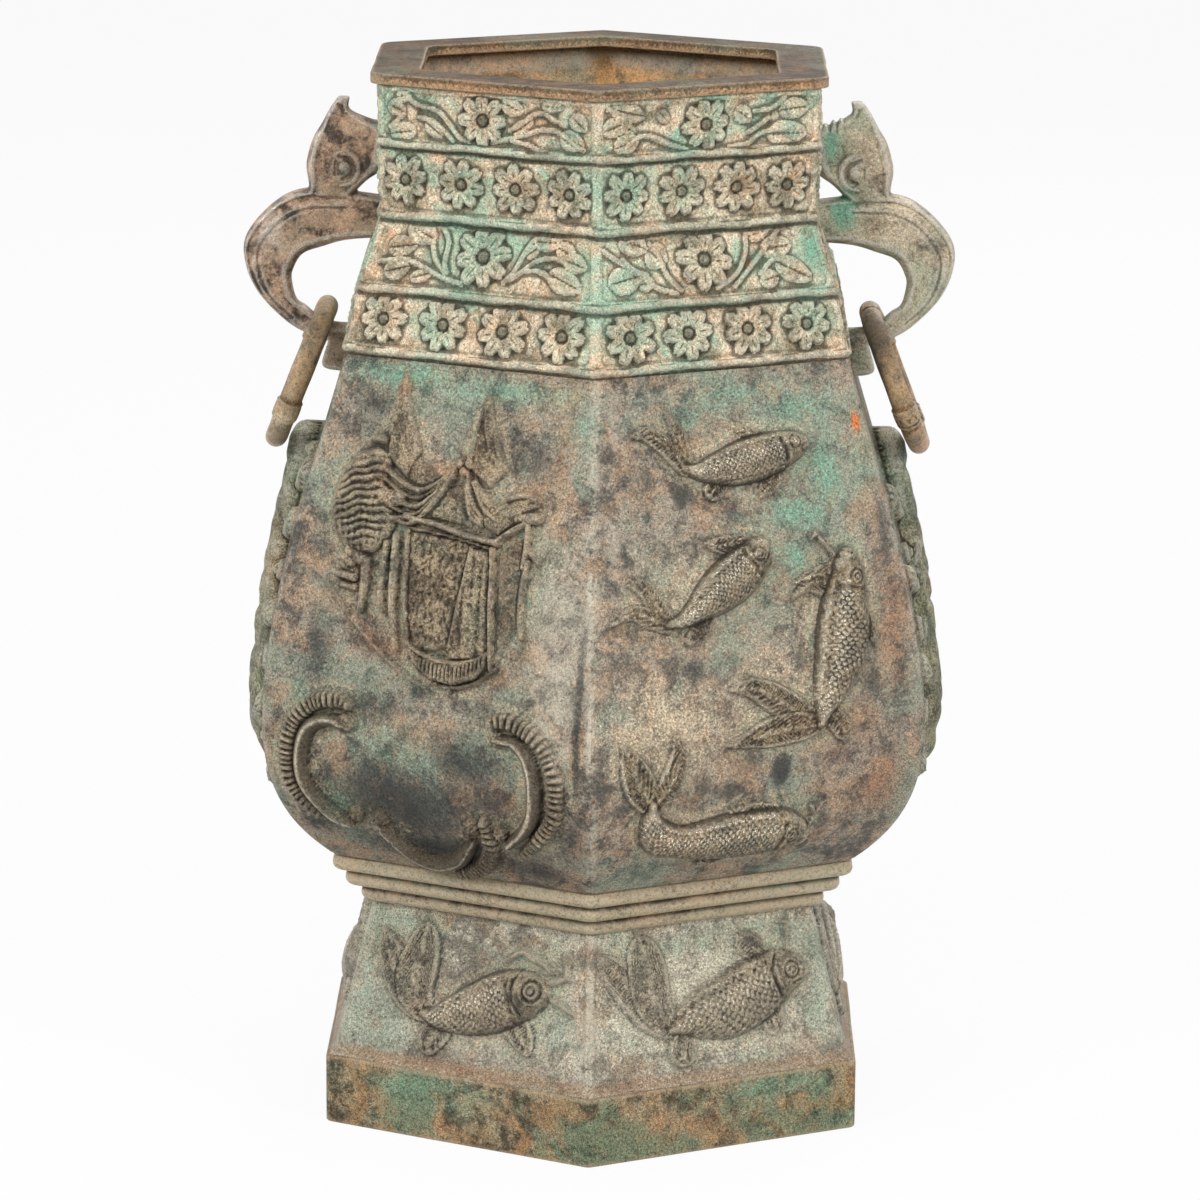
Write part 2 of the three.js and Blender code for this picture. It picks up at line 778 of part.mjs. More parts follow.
function sliceSection([[innerX, innerZ], [outerX, outerZ], share], level, thickness) {
  const start = new THREE.Vector3(neckWall + innerX, 0, level + innerZ);
  const end = new THREE.Vector3(neckWall + outerX, 0, level + outerZ);
  const half = (thickness * share) / 2;
  const points = [];
  for (const side of [-1, 1]) {
    for (const [place, spread] of [[0, 0.35], [0.22, 1], [0.78, 1], [1, 0.35]]) {
      const point = start.clone().lerp(end, place);
      points.push(point.setY(side * half * spread));
    }
  }
  return points;
}

function sliceLoft(slices, level, thickness, nextSection) {
  const sections = slices.map((slice) => sliceSection(slice, level, thickness));
  if (nextSection) sections.push(nextSection);
  return sections.slice(1).map((section, index) => hull([...sections[index], ...section]));
}

function wallEnvelope(outline) {
  const gap = offsetOutline(outline, clearance);
  const inside = offsetOutline(outline, -2 * wallThickness).reverse();
  return sweepHexagon([...gap, ...inside]);
}

const tenonMiddles = { head: headLevel - tenonHeight, tail: neckBase - 7.5 };
const tailTenonHeight = tenonHeight * 0.7;

function boxBetween(minimum, maximum) {
  const geometry = new THREE.BoxGeometry(...maximum.map((value, index) => value - minimum[index]));
  geometry.translate(...maximum.map((value, index) => (value + minimum[index]) / 2));
  return solidOf(geometry);
}

function tenon(surface, middle, height, side, growth) {
  const bottom = middle - height / 2 - growth;
  const top = middle + height / 2 + growth;
  const reach = surface(middle);
  const inset = growth > 0 ? wallThickness / 2 : 0;
  const ends = [reach - wallThickness - inset, reach + wallThickness].map((value) => value * side);
  const halfWidth = tenonWidth / 2 + growth;
  return boxBetween([Math.min(...ends), -halfWidth, bottom], [Math.max(...ends), halfWidth, top]);
}

function handleSockets() {
  return together([-1, 1].flatMap((side) => [
    tenon(neckSurface, tenonMiddles.head, tenonHeight, side, clearance),
    tenon(bellySurface, tenonMiddles.tail, tailTenonHeight, side, clearance),
  ]));
}

function handle() {
  const tailStart = sliceSection(tailSlices[0], tailLevel, tailThickness);
  const eyes = [-1, 1].map((side) => {
    const reach = headThickness / 2 + eyeBulge;
    const geometry = new THREE.CylinderGeometry(eyeRadius, eyeRadius + eyeFlare, reach, 12);
    if (side < 0) geometry.rotateX(Math.PI);
    geometry.translate(neckWall + eyeReach, (side * reach) / 2, headLevel + eyeRise);
    return solidOf(geometry);
  });
  const rough = join([
    ...sliceLoft(headSlices, headLevel, headThickness),
    ...sliceLoft(bodySlices, headLevel, bodyThickness, tailStart),
    ...sliceLoft(tailSlices, tailLevel, tailThickness),
    ...eyes,
  ]);
  const envelope = together([
    wallEnvelope(neckOutline()),
    wallEnvelope(bellyLine),
  ]);
  const wallShape = rough.subtract(envelope);
  return join([
    wallShape,
    tenon(neckSurface, tenonMiddles.head, tenonHeight, 1, 0),
    tenon(bellySurface, tenonMiddles.tail, tailTenonHeight, 1, 0),
  ]);
}

// Loose rings: each hangs from the tail of its handle and leans on the belly

function looseRing(side) {
  const sides = 8;
  const stepAngle = 0.3;
  const edge = 0.03;
  const radius = (ringDiameter - ringTube) / 2;
  const half = collarLength / 2 / radius;
  const middles = collarTurns
    .map((turn) => (THREE.MathUtils.degToRad(turn * side) + 2 * Math.PI) % (2 * Math.PI))
    .sort((one, other) => one - other);
  const stations = [];
  middles.forEach((middle, index) => {
    stations.push([middle - half - edge, ringTube / 2]);
    stations.push([middle - half, collarTube / 2]);
    stations.push([middle + half, collarTube / 2]);
    stations.push([middle + half + edge, ringTube / 2]);
    const start = middle + half + edge;
    const lap = index === middles.length - 1 ? 2 * Math.PI : 0;
    const end = middles[(index + 1) % middles.length] + lap - half - edge;
    const steps = Math.ceil((end - start) / stepAngle);
    for (let step = 1; step < steps; step += 1) {
      stations.push([start + ((end - start) * step) / steps, ringTube / 2]);
    }
  });
  const positions = [];
  const indices = [];
  stations.forEach(([turn, tube], index) => {
    for (let corner = 0; corner < sides; corner += 1) {
      const angle = (corner * 2 * Math.PI) / sides;
      const reach = radius + Math.cos(angle) * tube;
      positions.push(Math.sin(angle) * tube);
      positions.push(-Math.sin(turn) * reach, Math.cos(turn) * reach - radius);
      const next = (index + 1) % stations.length;
      const turned = (corner + 1) % sides;
      const a = index * sides + corner;
      const b = index * sides + turned;
      const c = next * sides + turned;
      const d = next * sides + corner;
      indices.push(a, c, b, a, d, c);
    }
  });
  const geometry = new THREE.BufferGeometry();
  geometry.setAttribute('position', new THREE.Float32BufferAttribute(positions, 3));
  geometry.setIndex(indices);
  return solidOf(geometry);
}

// Assembly

const vase = new THREE.Group();
vase.add(meshOf('plinth_band', plinthBand(), bronze(0x5f5a47, 0.6)));
vase.add(meshOf('foot_section', footSection(), bronze(0x77705f, 0.6)));
vase.add(meshOf('floor_plate', floorPlate(), bronze(0x5b5347, 0.7)));
vase.add(meshOf('belly_section', bellySection(), bronze(0x6b6358, 0.55)));
vase.add(meshOf('neck_section', neckSection(), bronze(0x8f8470, 0.6)));
vase.add(meshOf('lip_plate', lipPlate(), bronze(0x7d7468, 0.5)));

for (const [name, side] of [['right', 1], ['left', -1]]) {
  const turned = new THREE.Group();
  turned.rotation.z = side > 0 ? 0 : Math.PI;
  turned.add(meshOf(`handle_${name}`, handle(), bronze(0x7a6a58, 0.55)));
  const ring = meshOf(`ring_${name}`, looseRing(side), bronze(0x7d6040, 0.5));
  ring.position.set(ringPivot.x, 0, ringPivot.z);
  ring.rotation.y = -THREE.MathUtils.degToRad(ringLean);
  turned.add(ring);
  vase.add(turned);
}

export default vase;
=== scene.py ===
import json
import math

import bpy
import numpy as np
from mathutils import Euler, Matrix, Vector

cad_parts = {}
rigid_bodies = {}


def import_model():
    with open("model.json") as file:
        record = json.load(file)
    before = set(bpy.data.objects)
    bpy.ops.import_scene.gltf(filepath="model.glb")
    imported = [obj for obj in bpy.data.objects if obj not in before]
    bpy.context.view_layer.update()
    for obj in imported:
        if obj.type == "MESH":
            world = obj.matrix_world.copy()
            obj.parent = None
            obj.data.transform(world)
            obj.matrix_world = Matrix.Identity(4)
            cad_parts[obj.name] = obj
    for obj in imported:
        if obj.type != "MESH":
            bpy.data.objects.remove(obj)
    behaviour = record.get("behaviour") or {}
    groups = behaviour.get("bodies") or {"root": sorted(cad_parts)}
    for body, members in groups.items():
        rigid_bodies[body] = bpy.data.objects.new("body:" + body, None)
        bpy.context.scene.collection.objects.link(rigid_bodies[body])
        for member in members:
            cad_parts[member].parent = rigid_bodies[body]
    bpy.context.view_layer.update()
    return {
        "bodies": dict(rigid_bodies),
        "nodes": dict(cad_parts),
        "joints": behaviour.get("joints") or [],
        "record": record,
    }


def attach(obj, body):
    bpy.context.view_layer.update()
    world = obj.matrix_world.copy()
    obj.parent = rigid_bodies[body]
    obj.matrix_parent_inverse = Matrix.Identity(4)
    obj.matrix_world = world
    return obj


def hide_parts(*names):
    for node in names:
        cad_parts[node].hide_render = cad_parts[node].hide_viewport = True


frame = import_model()
mm = 0.001  # the sizes below are millimetres in the CAD frame

hexagon = {
    "ridgeReach": 1.04,  # the front and back ridges, per unit of half width
    "sideReach": 0.52,
}
unitCorners = [
    (0, -hexagon["ridgeReach"]), (1, -hexagon["sideReach"]), (1, hexagon["sideReach"]),
    (0, hexagon["ridgeReach"]), (-1, hexagon["sideReach"]), (-1, -hexagon["sideReach"]),
]
faceNames = ["frontRight", "right", "backRight", "backLeft", "left", "frontLeft"]


def faceFrame(name):
    number = faceNames.index(name)
    start = np.array(unitCorners[number], float)
    end = np.array(unitCorners[(number + 1) % 6], float)
    length = np.linalg.norm(end - start)
    along = (end - start) / length
    outward = np.array([along[1], -along[0]])
    mitres = []
    for corner, other in ((number, number - 1), ((number + 1) % 6, (number + 2) % 6)):
        tip = np.array(unitCorners[corner], float)
        away = np.array(unitCorners[other % 6], float) - tip
        side = along if corner == number else -along
        opening = math.acos(np.dot(side, away) / np.linalg.norm(away))
        mitres.append((math.pi - opening) / 2)
    return {"along": along, "middle": (start + end) / 2, "outward": outward, "length": length,
            "mitres": mitres}


faces = {name: faceFrame(name) for name in faceNames}


# Catmull-Rom line through rows of numbers
def smoothLine(points, steps=6):
    rows = np.array(points, float)
    if len(rows) < 3:
        return rows[0] + (rows[-1] - rows[0]) * np.linspace(0, 1, steps + 1)[:, None]
    rows = np.vstack([2 * rows[0] - rows[1], rows, 2 * rows[-1] - rows[-2]])
    line = []
    for a, b, c, d in zip(rows[:-3], rows[1:-2], rows[2:-1], rows[3:]):
        for t in np.linspace(0, 1, steps, endpoint=False):
            square, cube = 2 * a - 5 * b + 4 * c - d, 3 * b - a - 3 * c + d
            line.append(0.5 * (2 * b + (c - a) * t + square * t * t + cube * t ** 3))
    return np.array(line + [rows[-2]])


def bezierLine(points, steps=40):
    a, b, c, d = (np.array(point, float) for point in points)
    t = np.linspace(0, 1, steps + 1)[:, None]
    return a * (1 - t) ** 3 + 3 * b * t * (1 - t) ** 2 + 3 * c * t * t * (1 - t) + d * t ** 3


# Half width of the hexagon at a height
class Surface:
    def __init__(self, line):
        line = np.array(line, float)
        self.widths, self.heights = line[:, 0], line[:, 1]

    def halfWidth(self, height):
        return np.interp(height, self.heights, self.widths)

    def slope(self, height):
        reach = 1.0
        return (self.halfWidth(height + reach) - self.halfWidth(height - reach)) / (2 * reach)


def facePoints(face, surface, across, height, lift):
    width = surface.halfWidth(height)
    lean = -surface.slope(height) * np.dot(face["middle"], face["outward"])
    scale = lift / np.hypot(1, lean)
    x = face["middle"][0] * width + face["along"][0] * across + face["outward"][0] * scale
    y = face["middle"][1] * width + face["along"][1] * across + face["outward"][1] * scale
    return np.stack([x, y, height + lean * scale], axis=-1)


def deselectAll():
    if bpy.context.object and bpy.context.object.mode == "EDIT":
        bpy.ops.object.mode_set(mode="OBJECT")
    bpy.ops.object.select_all(action="DESELECT")


def makeActive(piece):
    deselectAll()
    piece.select_set(True)
    bpy.context.view_layer.objects.active = piece


def readPoints(piece):
    points = np.empty(len(piece.data.vertices) * 3)
    piece.data.vertices.foreach_get("co", points)
    return points.reshape(-1, 3) / mm


def writePoints(piece, points):
    piece.data.vertices.foreach_set("co", (points * mm).ravel())
    piece.data.update()


# A grid primitive whose vertices are moved to place(share across, share along), both from 0 to 1
def shapeGrid(name, columns, rows, place):
    deselectAll()
    bpy.ops.mesh.primitive_grid_add(x_subdivisions=columns, y_subdivisions=rows, size=2)
    piece = bpy.context.object
    piece.name = piece.data.name = name
    flat = readPoints(piece) * mm
    across = ((flat[:, 0] + 1) / 2).reshape(rows + 1, columns + 1)
    along = ((flat[:, 1] + 1) / 2).reshape(rows + 1, columns + 1)
    writePoints(piece, place(across, along).reshape(-1, 3))
    return piece


def weld(piece, fill=False):
    makeActive(piece)
    bpy.ops.object.mode_set(mode="EDIT")
    bpy.ops.mesh.select_all(action="SELECT")
    bpy.ops.mesh.remove_doubles(threshold=1e-6)
    if fill:
        bpy.ops.mesh.select_all(action="DESELECT")
        bpy.ops.mesh.fill_holes(sides=0)
        bpy.ops.mesh.select_mode(type="EDGE")
        bpy.ops.mesh.select_non_manifold(use_wire=False, use_multi_face=False, use_non_contiguous=False,
                                         use_verts=False)
        bpy.ops.mesh.fill_holes(sides=0)
        bpy.ops.mesh.select_mode(type="VERT")
    bpy.ops.mesh.select_all(action="SELECT")
    bpy.ops.mesh.normals_make_consistent(inside=False)
    bpy.ops.object.mode_set(mode="OBJECT")


def applyModifier(piece, kind, **settings):
    makeActive(piece)
    modifier = piece.modifiers.new(kind.title(), kind)
    for key, value in settings.items():
        setattr(modifier, key, value)
    bpy.ops.object.modifier_apply(modifier=modifier.name)


# Turns an open carved sheet into a closed plate: its rim goes back into the wall and is bridged across
def closeBack(piece, inward, columns):
    front = len(piece.data.vertices)
    makeActive(piece)
    bpy.ops.object.mode_set(mode="EDIT")
    bpy.ops.mesh.select_mode(type="EDGE")
    bpy.ops.mesh.select_all(action="DESELECT")
    openEdges = {"use_wire": False, "use_multi_face": False, "use_non_contiguous": False, "use_verts": False}
    bpy.ops.mesh.select_non_manifold(**openEdges)
    bpy.ops.mesh.extrude_region_move(TRANSFORM_OT_translate={"value": tuple(inward * mm)})
    bpy.ops.object.mode_set(mode="OBJECT")
    column = {}  # of the front vertex that each rim vertex came from
    for edge in piece.data.edges:
        low, high = sorted(edge.vertices)
        if low < front <= high:
            column[high] = low % (columns + 1)
    for edge in piece.data.edges:
        if edge.select:
            ends = [column.get(vertex) for vertex in edge.vertices]
            edge.select = ends[0] == ends[1] and ends[0] in (0, columns)
    for vertex in piece.data.vertices:
        vertex.select = False
    for polygon in piece.data.polygons:
        polygon.select = False
    bpy.ops.object.mode_set(mode="EDIT")
    bpy.ops.mesh.bridge_edge_loops()
    bpy.ops.mesh.select_all(action="DESELECT")
    bpy.ops.mesh.select_non_manifold(**openEdges)
    bpy.ops.mesh.fill_holes(sides=0)
    bpy.ops.mesh.select_mode(type="VERT")
    bpy.ops.object.mode_set(mode="OBJECT")


def smoothShade(piece, angle=60):
    makeActive(piece)
    bpy.ops.object.shade_smooth_by_angle(angle=math.radians(angle))


# A slow unevenness of a hand-worked casting, from -reach to reach, the same wherever two pieces meet
def wobble(points, reach, size):
    x, y, z = (points[..., axis] / size for axis in range(3))
    waves = np.sin(1.7 * x + 0.9 * np.sin(1.3 * z + 0.4)) + np.sin(1.9 * y + 1.1 * np.sin(0.8 * x + 2.1))
    waves += np.sin(2.3 * z + 0.8 * np.sin(1.1 * y + 4.2))
    waves += 0.6 * np.sin(4.1 * x + 3.3 * z) * np.sin(3.7 * y - 2.9 * z)
    return reach * waves / 3.6


# Relief: lifts above a face, in millimetres, drawn with strokes of [across, height, half width]

def rounded(q):
    return np.sqrt(np.clip(1 - q * q, 0, 1))


def cushion(q):
    return np.clip(1 - q ** 4, 0, 1) ** 0.6


def bump(q):
    return np.clip(1 - q * q, 0, 1) ** 2


def easeIn(value):
    value = np.clip(value, 0, 1)
    return value * value * (3 - 2 * value)


# Round scales in rows half a scale apart: 0 in the seams, 1 on the free edge that points along the rows
def scaleRows(rows, columns):
    value = np.zeros_like(rows)
    for shift in (1, 0):
        row = np.floor(rows) + shift
        aside = columns - 0.5 * np.mod(row, 2)
        aside = aside - np.round(aside)
        behind = (rows - row) * 0.5
        distance = np.hypot(behind, aside)
        scale = (0.2 + 0.8 * easeIn((behind + 0.5) / 0.85)) * (1 - np.clip(distance / 0.57, 0, 1) ** 6)
        value = np.where((shift == 1) | (distance < 0.54), scale, value)
    return value


class Relief:
    def __init__(self, across, height):
        self.across, self.height = across, height
        self.lift = np.zeros_like(across)
        self.scales = [np.zeros_like(across) for _ in range(3)]  # row, column and presence of fish scales
        self.dark, self.light = np.zeros_like(across), np.zeros_like(across)  # painted shade on flanks and in creases, painted highlights on crests

    # Everything near a line: share of its half width, run along it, and side from -1 to 1
    def trace(self, points, steps=6, spread=1.0):
        line = smoothLine(points, steps)
        line[:, 2] = np.maximum(line[:, 2], 0.2)
        reach = line[:, 2].max() * spread
        near = (
            (self.across > line[:, 0].min() - reach) & (self.across < line[:, 0].max() + reach)
            & (self.height > line[:, 1].min() - reach) & (self.height < line[:, 1].max() + reach)
        )
        u, z = self.across[near], self.height[near]
        q = np.full(u.shape, 1e6)
        run, side, half = np.zeros_like(u), np.zeros_like(u), np.ones_like(u)
        done = 0.0
        for start, end in zip(line[:-1], line[1:]):
            step = end[:2] - start[:2]
            length = max(np.hypot(*step), 1e-6)
            share = np.clip(((u - start[0]) * step[0] + (z - start[1]) * step[1]) / length ** 2, 0, 1)
            du = u - start[0] - share * step[0]
            dz = z - start[1] - share * step[1]
            width = start[2] + share * (end[2] - start[2])
            ratio = np.hypot(du, dz) / width
            closer = ratio < q
            q[closer] = ratio[closer]
            run[closer] = (done + share * length)[closer]
            half[closer] = width[closer]
            side[closer] = ((step[0] * dz - step[1] * du) / length / width)[closer]
            done += length
        return {
            "near": near, "q": q, "run": run, "side": side, "half": half, "length": done,
            "widest": line[:, 2].max(),
        }

    def raiseTo(self, trace, lift):
        inside = trace["q"] < 1
        current = self.lift[trace["near"]]
        current[inside] = np.maximum(current[inside], lift[inside])
        self.lift[trace["near"]] = current

    def add(self, trace, lift):
        inside = trace["q"] < 1
        current = self.lift[trace["near"]]
        current[inside] += lift[inside]
        self.lift[trace["near"]] = current

    # Paints shade and highlights into the dark and light layers inside a trace
    def paintShadeAndHighlight(self, trace, dark, light):
        inside = trace["q"] < 1
        for layer, values in ((self.dark, dark), (self.light, light)):
            current = layer[trace["near"]]
            current[inside] = values[inside]
            layer[trace["near"]] = current

    def stroke(self, points, rise, form=rounded):
        trace = self.trace(points)
        self.raiseTo(trace, rise * form(trace["q"]))
        return trace

    def groove(self, points, depth):
        trace = self.trace(points)
        self.add(trace, -depth * bump(trace["q"]))

    def bead(self, across, height, radius, rise, onTop=True):
        q = np.hypot(self.across - across, self.height - height) / radius
        inside = q < 1
        dome = rise * rounded(q)
        if onTop:
            self.lift[inside] += dome[inside]
        else:
            self.lift[inside] = np.maximum(self.lift[inside], dome[inside])

    def hoop(self, across, height, radius, width, rise):
        q = (np.hypot(self.across - across, self.height - height) - radius) / width
        self.lift += rise * np.exp(-q * q)

    # A fin or tail lobe: thin, with a raised edge and rays that run out to it
    def fin(self, points, rise):
        trace = self.trace(points)
        side, q = trace["side"], trace["q"]
        ridges = 0.5 + 0.5 * np.cos((trace["run"] + 2.2 * np.abs(side) * trace["half"]) * 2 * math.pi / 2.4)
        spine = np.exp(-(side / 0.22) ** 2)
        rim = np.exp(-((q - 0.84) / 0.12) ** 2)
        body = rise * (0.6 + 0.14 * rim + 0.22 * ridges * (1 - spine) + 0.2 * spine) * (1 - q ** 8)
        body += 0.4 * hammered(self.across[trace["near"]], self.height[trace["near"]], 2.8, 4) * (1 - q ** 4)
        self.raiseTo(trace, body)
        # Painted shade between the rays and along the outline, and painted highlights on the spine, rim and rays
        dark = 0.75 * (1 - ridges) * (1 - spine) * (1 - rim) + 0.8 * easeIn((q - 0.88) / 0.08)
        self.paintShadeAndHighlight(trace, dark, 0.4 * spine + 0.42 * rim + 0.35 * ridges ** 3)

    # A lens-shaped leaf with a middle vein, side veins and a raised rim
    def leaf(self, start, end, half, rise=1.7):
        start, end = np.array(start), np.array(end)
        step = end - start
        length = np.hypot(*step)
        du, dz = self.across - start[0], self.height - start[1]
        along = (du * step[0] + dz * step[1]) / length ** 2
        aside = (step[0] * dz - step[1] * du) / length
        shape = half * np.clip(1 - (2 * np.clip(along, 0, 1) ** 0.8 - 1) ** 2, 0, 1) ** 0.75
        inside = (along > 0) & (along < 1) & (np.abs(aside) < shape)
        q = np.abs(aside) / np.maximum(shape, 0.1)
        veins = 0.5 + 0.5 * np.cos((along * length + np.abs(aside) * 1.1) * 2 * math.pi / 2.3)
        lift = rise * (0.5 + 0.3 * q * q + 0.2 * veins) * (1 - q ** 8)
        lift -= rise * 0.45 * np.exp(-(aside / 0.45) ** 2)
        self.lift[inside] = np.maximum(self.lift[inside], lift[inside])

    # A flower: parted petals, deepest at the middle and with thin raised rims, round a ringed boss
    def blossom(self, across, height, radius, turn, petals=8, rise=2.8):
        du, dz = self.across - across, self.height - height
        reach = np.hypot(du, dz) / radius
        near = reach < 1.15
        angle = np.arctan2(dz, du) / (2 * math.pi) + turn
        number = np.floor(np.mod(angle * petals, petals))
        part = np.mod(angle * petals, 1) - 0.5
        aside = np.abs(part) * 2 * math.pi / petals * reach
        long = 1 + 0.05 * np.sin(number * 2.7 + across)
        notch = 0.08 * np.exp(-(aside / 0.05) ** 2)
        q = np.hypot(np.maximum(reach + notch - 0.64 * long, 0.9 * (0.64 - reach)) / (0.37 * long),
                     aside / 0.27)
        petal = np.clip(1 - q ** 5, 0, 1) ** 0.5
        hollow = easeIn((0.86 - q) / 0.4)
        lift = rise * petal * (0.42 + 0.58 * np.clip((reach - 0.2) / 0.7, 0, 1)) * (1 - 0.3 * hollow)
        lift -= 0.14 * rise * np.exp(-(aside / 0.03) ** 2) * hollow
        self.lift[near] = np.maximum(self.lift[near] - 0.4 * (reach[near] < 0.96), lift[near])
        centre = reach < 0.27
        boss = rise * (0.05 + 0.8 * rounded(np.clip(reach / 0.17, 0, 1)))
        self.lift[centre] = boss[centre]
        self.lift -= 0.4 * rise * np.exp(-(reach / 0.05) ** 2)
        # Painted shade in the clefts, between the petals and at the middle, and painted highlights on the petal
        # rims
        cleft = np.exp(-((np.abs(part) - 0.5) / 0.16) ** 2) * (reach > 0.3)
        gap = (0.9 * (1 - petal) + 0.3 * cleft) * easeIn((1.0 - reach) / 0.16)
        shade = np.where(reach < 1.06, np.maximum(gap, 0.6 * np.exp(-(reach / 0.36) ** 2)), 0)
        self.dark = np.maximum(self.dark, np.clip(shade, 0, 0.85))
        self.light = np.maximum(self.light, 0.3 * petal * np.exp(-((reach - 0.86) / 0.1) ** 2) * (reach < 1.06))

    # A flat form inside a closed outline, rounded down at its edge
    def patch(self, outline, rise, edge=2.0, texture=None):
        points = np.array(outline, float)
        closed = np.vstack([points, points[:1]])
        near = (
            (self.across > points[:, 0].min()) & (self.across < points[:, 0].max())
            & (self.height > points[:, 1].min()) & (self.height < points[:, 1].max())
        )
        u, z = self.across[near], self.height[near]
        inside = np.zeros(u.shape, bool)
        distance = np.full(u.shape, 1e6)
        for (u0, z0), (u1, z1) in zip(closed[:-1], closed[1:]):
            if z0 != z1:
                crosses = (z0 > z) != (z1 > z)
                inside ^= crosses & (u < u0 + (z - z0) * (u1 - u0) / (z1 - z0))
            length = max((u1 - u0) ** 2 + (z1 - z0) ** 2, 1e-9)
            share = np.clip(((u - u0) * (u1 - u0) + (z - z0) * (z1 - z0)) / length, 0, 1)
            distance = np.minimum(distance, np.hypot(u - u0 - share * (u1 - u0), z - z0 - share * (z1 - z0)))
        lift = rise * rounded(1 - np.clip(distance / edge, 0, 1))
        if texture:
            lift = lift + texture(u, z) * np.clip(distance / edge, 0, 1)
        current = self.lift[near]
        current[inside] = np.maximum(current[inside], lift[inside])
        self.lift[near] = current


# Hammer marks of the wax model, from -1 to 1
def hammered(u, z, size, seed=0.0):
    value = np.zeros_like(u)
    for number in range(7):
        turn = 0.9 * number + seed
        pitch = size * (0.7 + 0.13 * number)
        along = (u * math.cos(turn) + z * math.sin(turn)) / pitch
        value += np.sin(along * 2 * math.pi + 1.7 * np.sin(along * 1.9 + number) + 2.3 * number + seed)
    return value / 4.0


# Fish

def carveFish(relief, fish):
    relief.stroke([[u, z, half + 3.4] for u, z, half in fish["body"]], 1.5, bump)
    wide = fish.get("finWide", 1.9)
    for fin in fish["fins"]:
        relief.stroke([[u, z, half * wide + 1.6] for u, z, half in fin], 0.8, bump)
        relief.fin([[u, z, half * wide] for u, z, half in fin], fish["finRise"])
    body = relief.trace(fish["body"])
    q, along = body["q"], body["run"] / body["length"]
    across = body["side"] * body["half"]
    thickness = fish["rise"] * (0.45 + 0.55 * np.sqrt(body["half"] / body["widest"]))
    lift = thickness * np.clip(1 - np.abs(q) ** 2.3, 0, 1) ** 0.55
    pitch = fish["scale"]
    rows = (body["length"] - body["run"]) / pitch * 2 + 0.16 * np.sin(across * 0.9 + body["run"] * 0.3)
    columns = across / pitch * (0.62 + 0.38 * body["widest"] / np.maximum(body["half"], 0.45 * body["widest"]))
    columns = columns + 0.1 * np.sin(body["run"] * 0.7 + across * 0.4)
    covered = easeIn((fish["gill"] - along + 0.035 * (1 - body["side"] ** 2)) / 0.03)
    covered = covered * easeIn((along - 0.02) / 0.05)
    covered *= easeIn((0.96 - np.abs(body["side"])) / 0.14)
    lift += covered * (scaleRows(rows, columns) - 0.55) * 0.22 * pitch
    gill = (along - fish["gill"] - 0.05 * (1 - body["side"] ** 2)) * body["length"]
    lift -= 0.65 * np.exp(-((gill + 0.2) / 0.7) ** 2) * (1 - q ** 4)
    lift += 0.25 * np.exp(-((gill - 1.3) / 1.1) ** 2) * (1 - q ** 4)
    back = body["side"] * fish.get("back", 1)
    lift += 0.5 * np.exp(-((back - 0.78) / 0.09) ** 2) * easeIn((0.9 - along) / 0.2)
    lift -= 0.2 * np.exp(-((back - 0.6) / 0.07) ** 2) * easeIn((0.9 - along) / 0.2)
    lift += 0.16 * hammered(relief.across[body["near"]], relief.height[body["near"]], 3.1) * (1 - q ** 4)
    above = lift > relief.lift[body["near"]]
    relief.raiseTo(body, lift)
    # Painted shade on the body's edges and its lower side, and a painted highlight along the upper back
    flank = np.maximum(easeIn((np.abs(back) - 0.72) / 0.24), 0.75 * easeIn((-back - 0.2) / 0.6))
    relief.paintShadeAndHighlight(body, 0.9 * flank, 0.5 * np.exp(-((back - 0.25) / 0.28) ** 2) * easeIn(along / 0.15))
    for layer, values in zip(relief.scales, (rows, columns, covered * (body["q"] < 1) * above)):
        current = layer[body["near"]]
        inside = (body["q"] < 1) & above
        current[inside] = values[inside]
        layer[body["near"]] = current
    across, height, radius = fish["eye"]
    relief.bead(across, height, radius * 0.55, radius * 0.45)
    relief.hoop(across, height, radius, radius * 0.24, radius * 0.3)
    relief.hoop(across, height, radius * 1.5, radius * 0.3, -radius * 0.16)
    relief.hoop(across, height, radius * 1.95, radius * 0.2, radius * 0.14)
    for line in fish.get("cuts", []):
        relief.groove(line, 0.9)
    for line in fish.get("whiskers", []):
        relief.stroke(line, fish["finRise"] * 0.8)


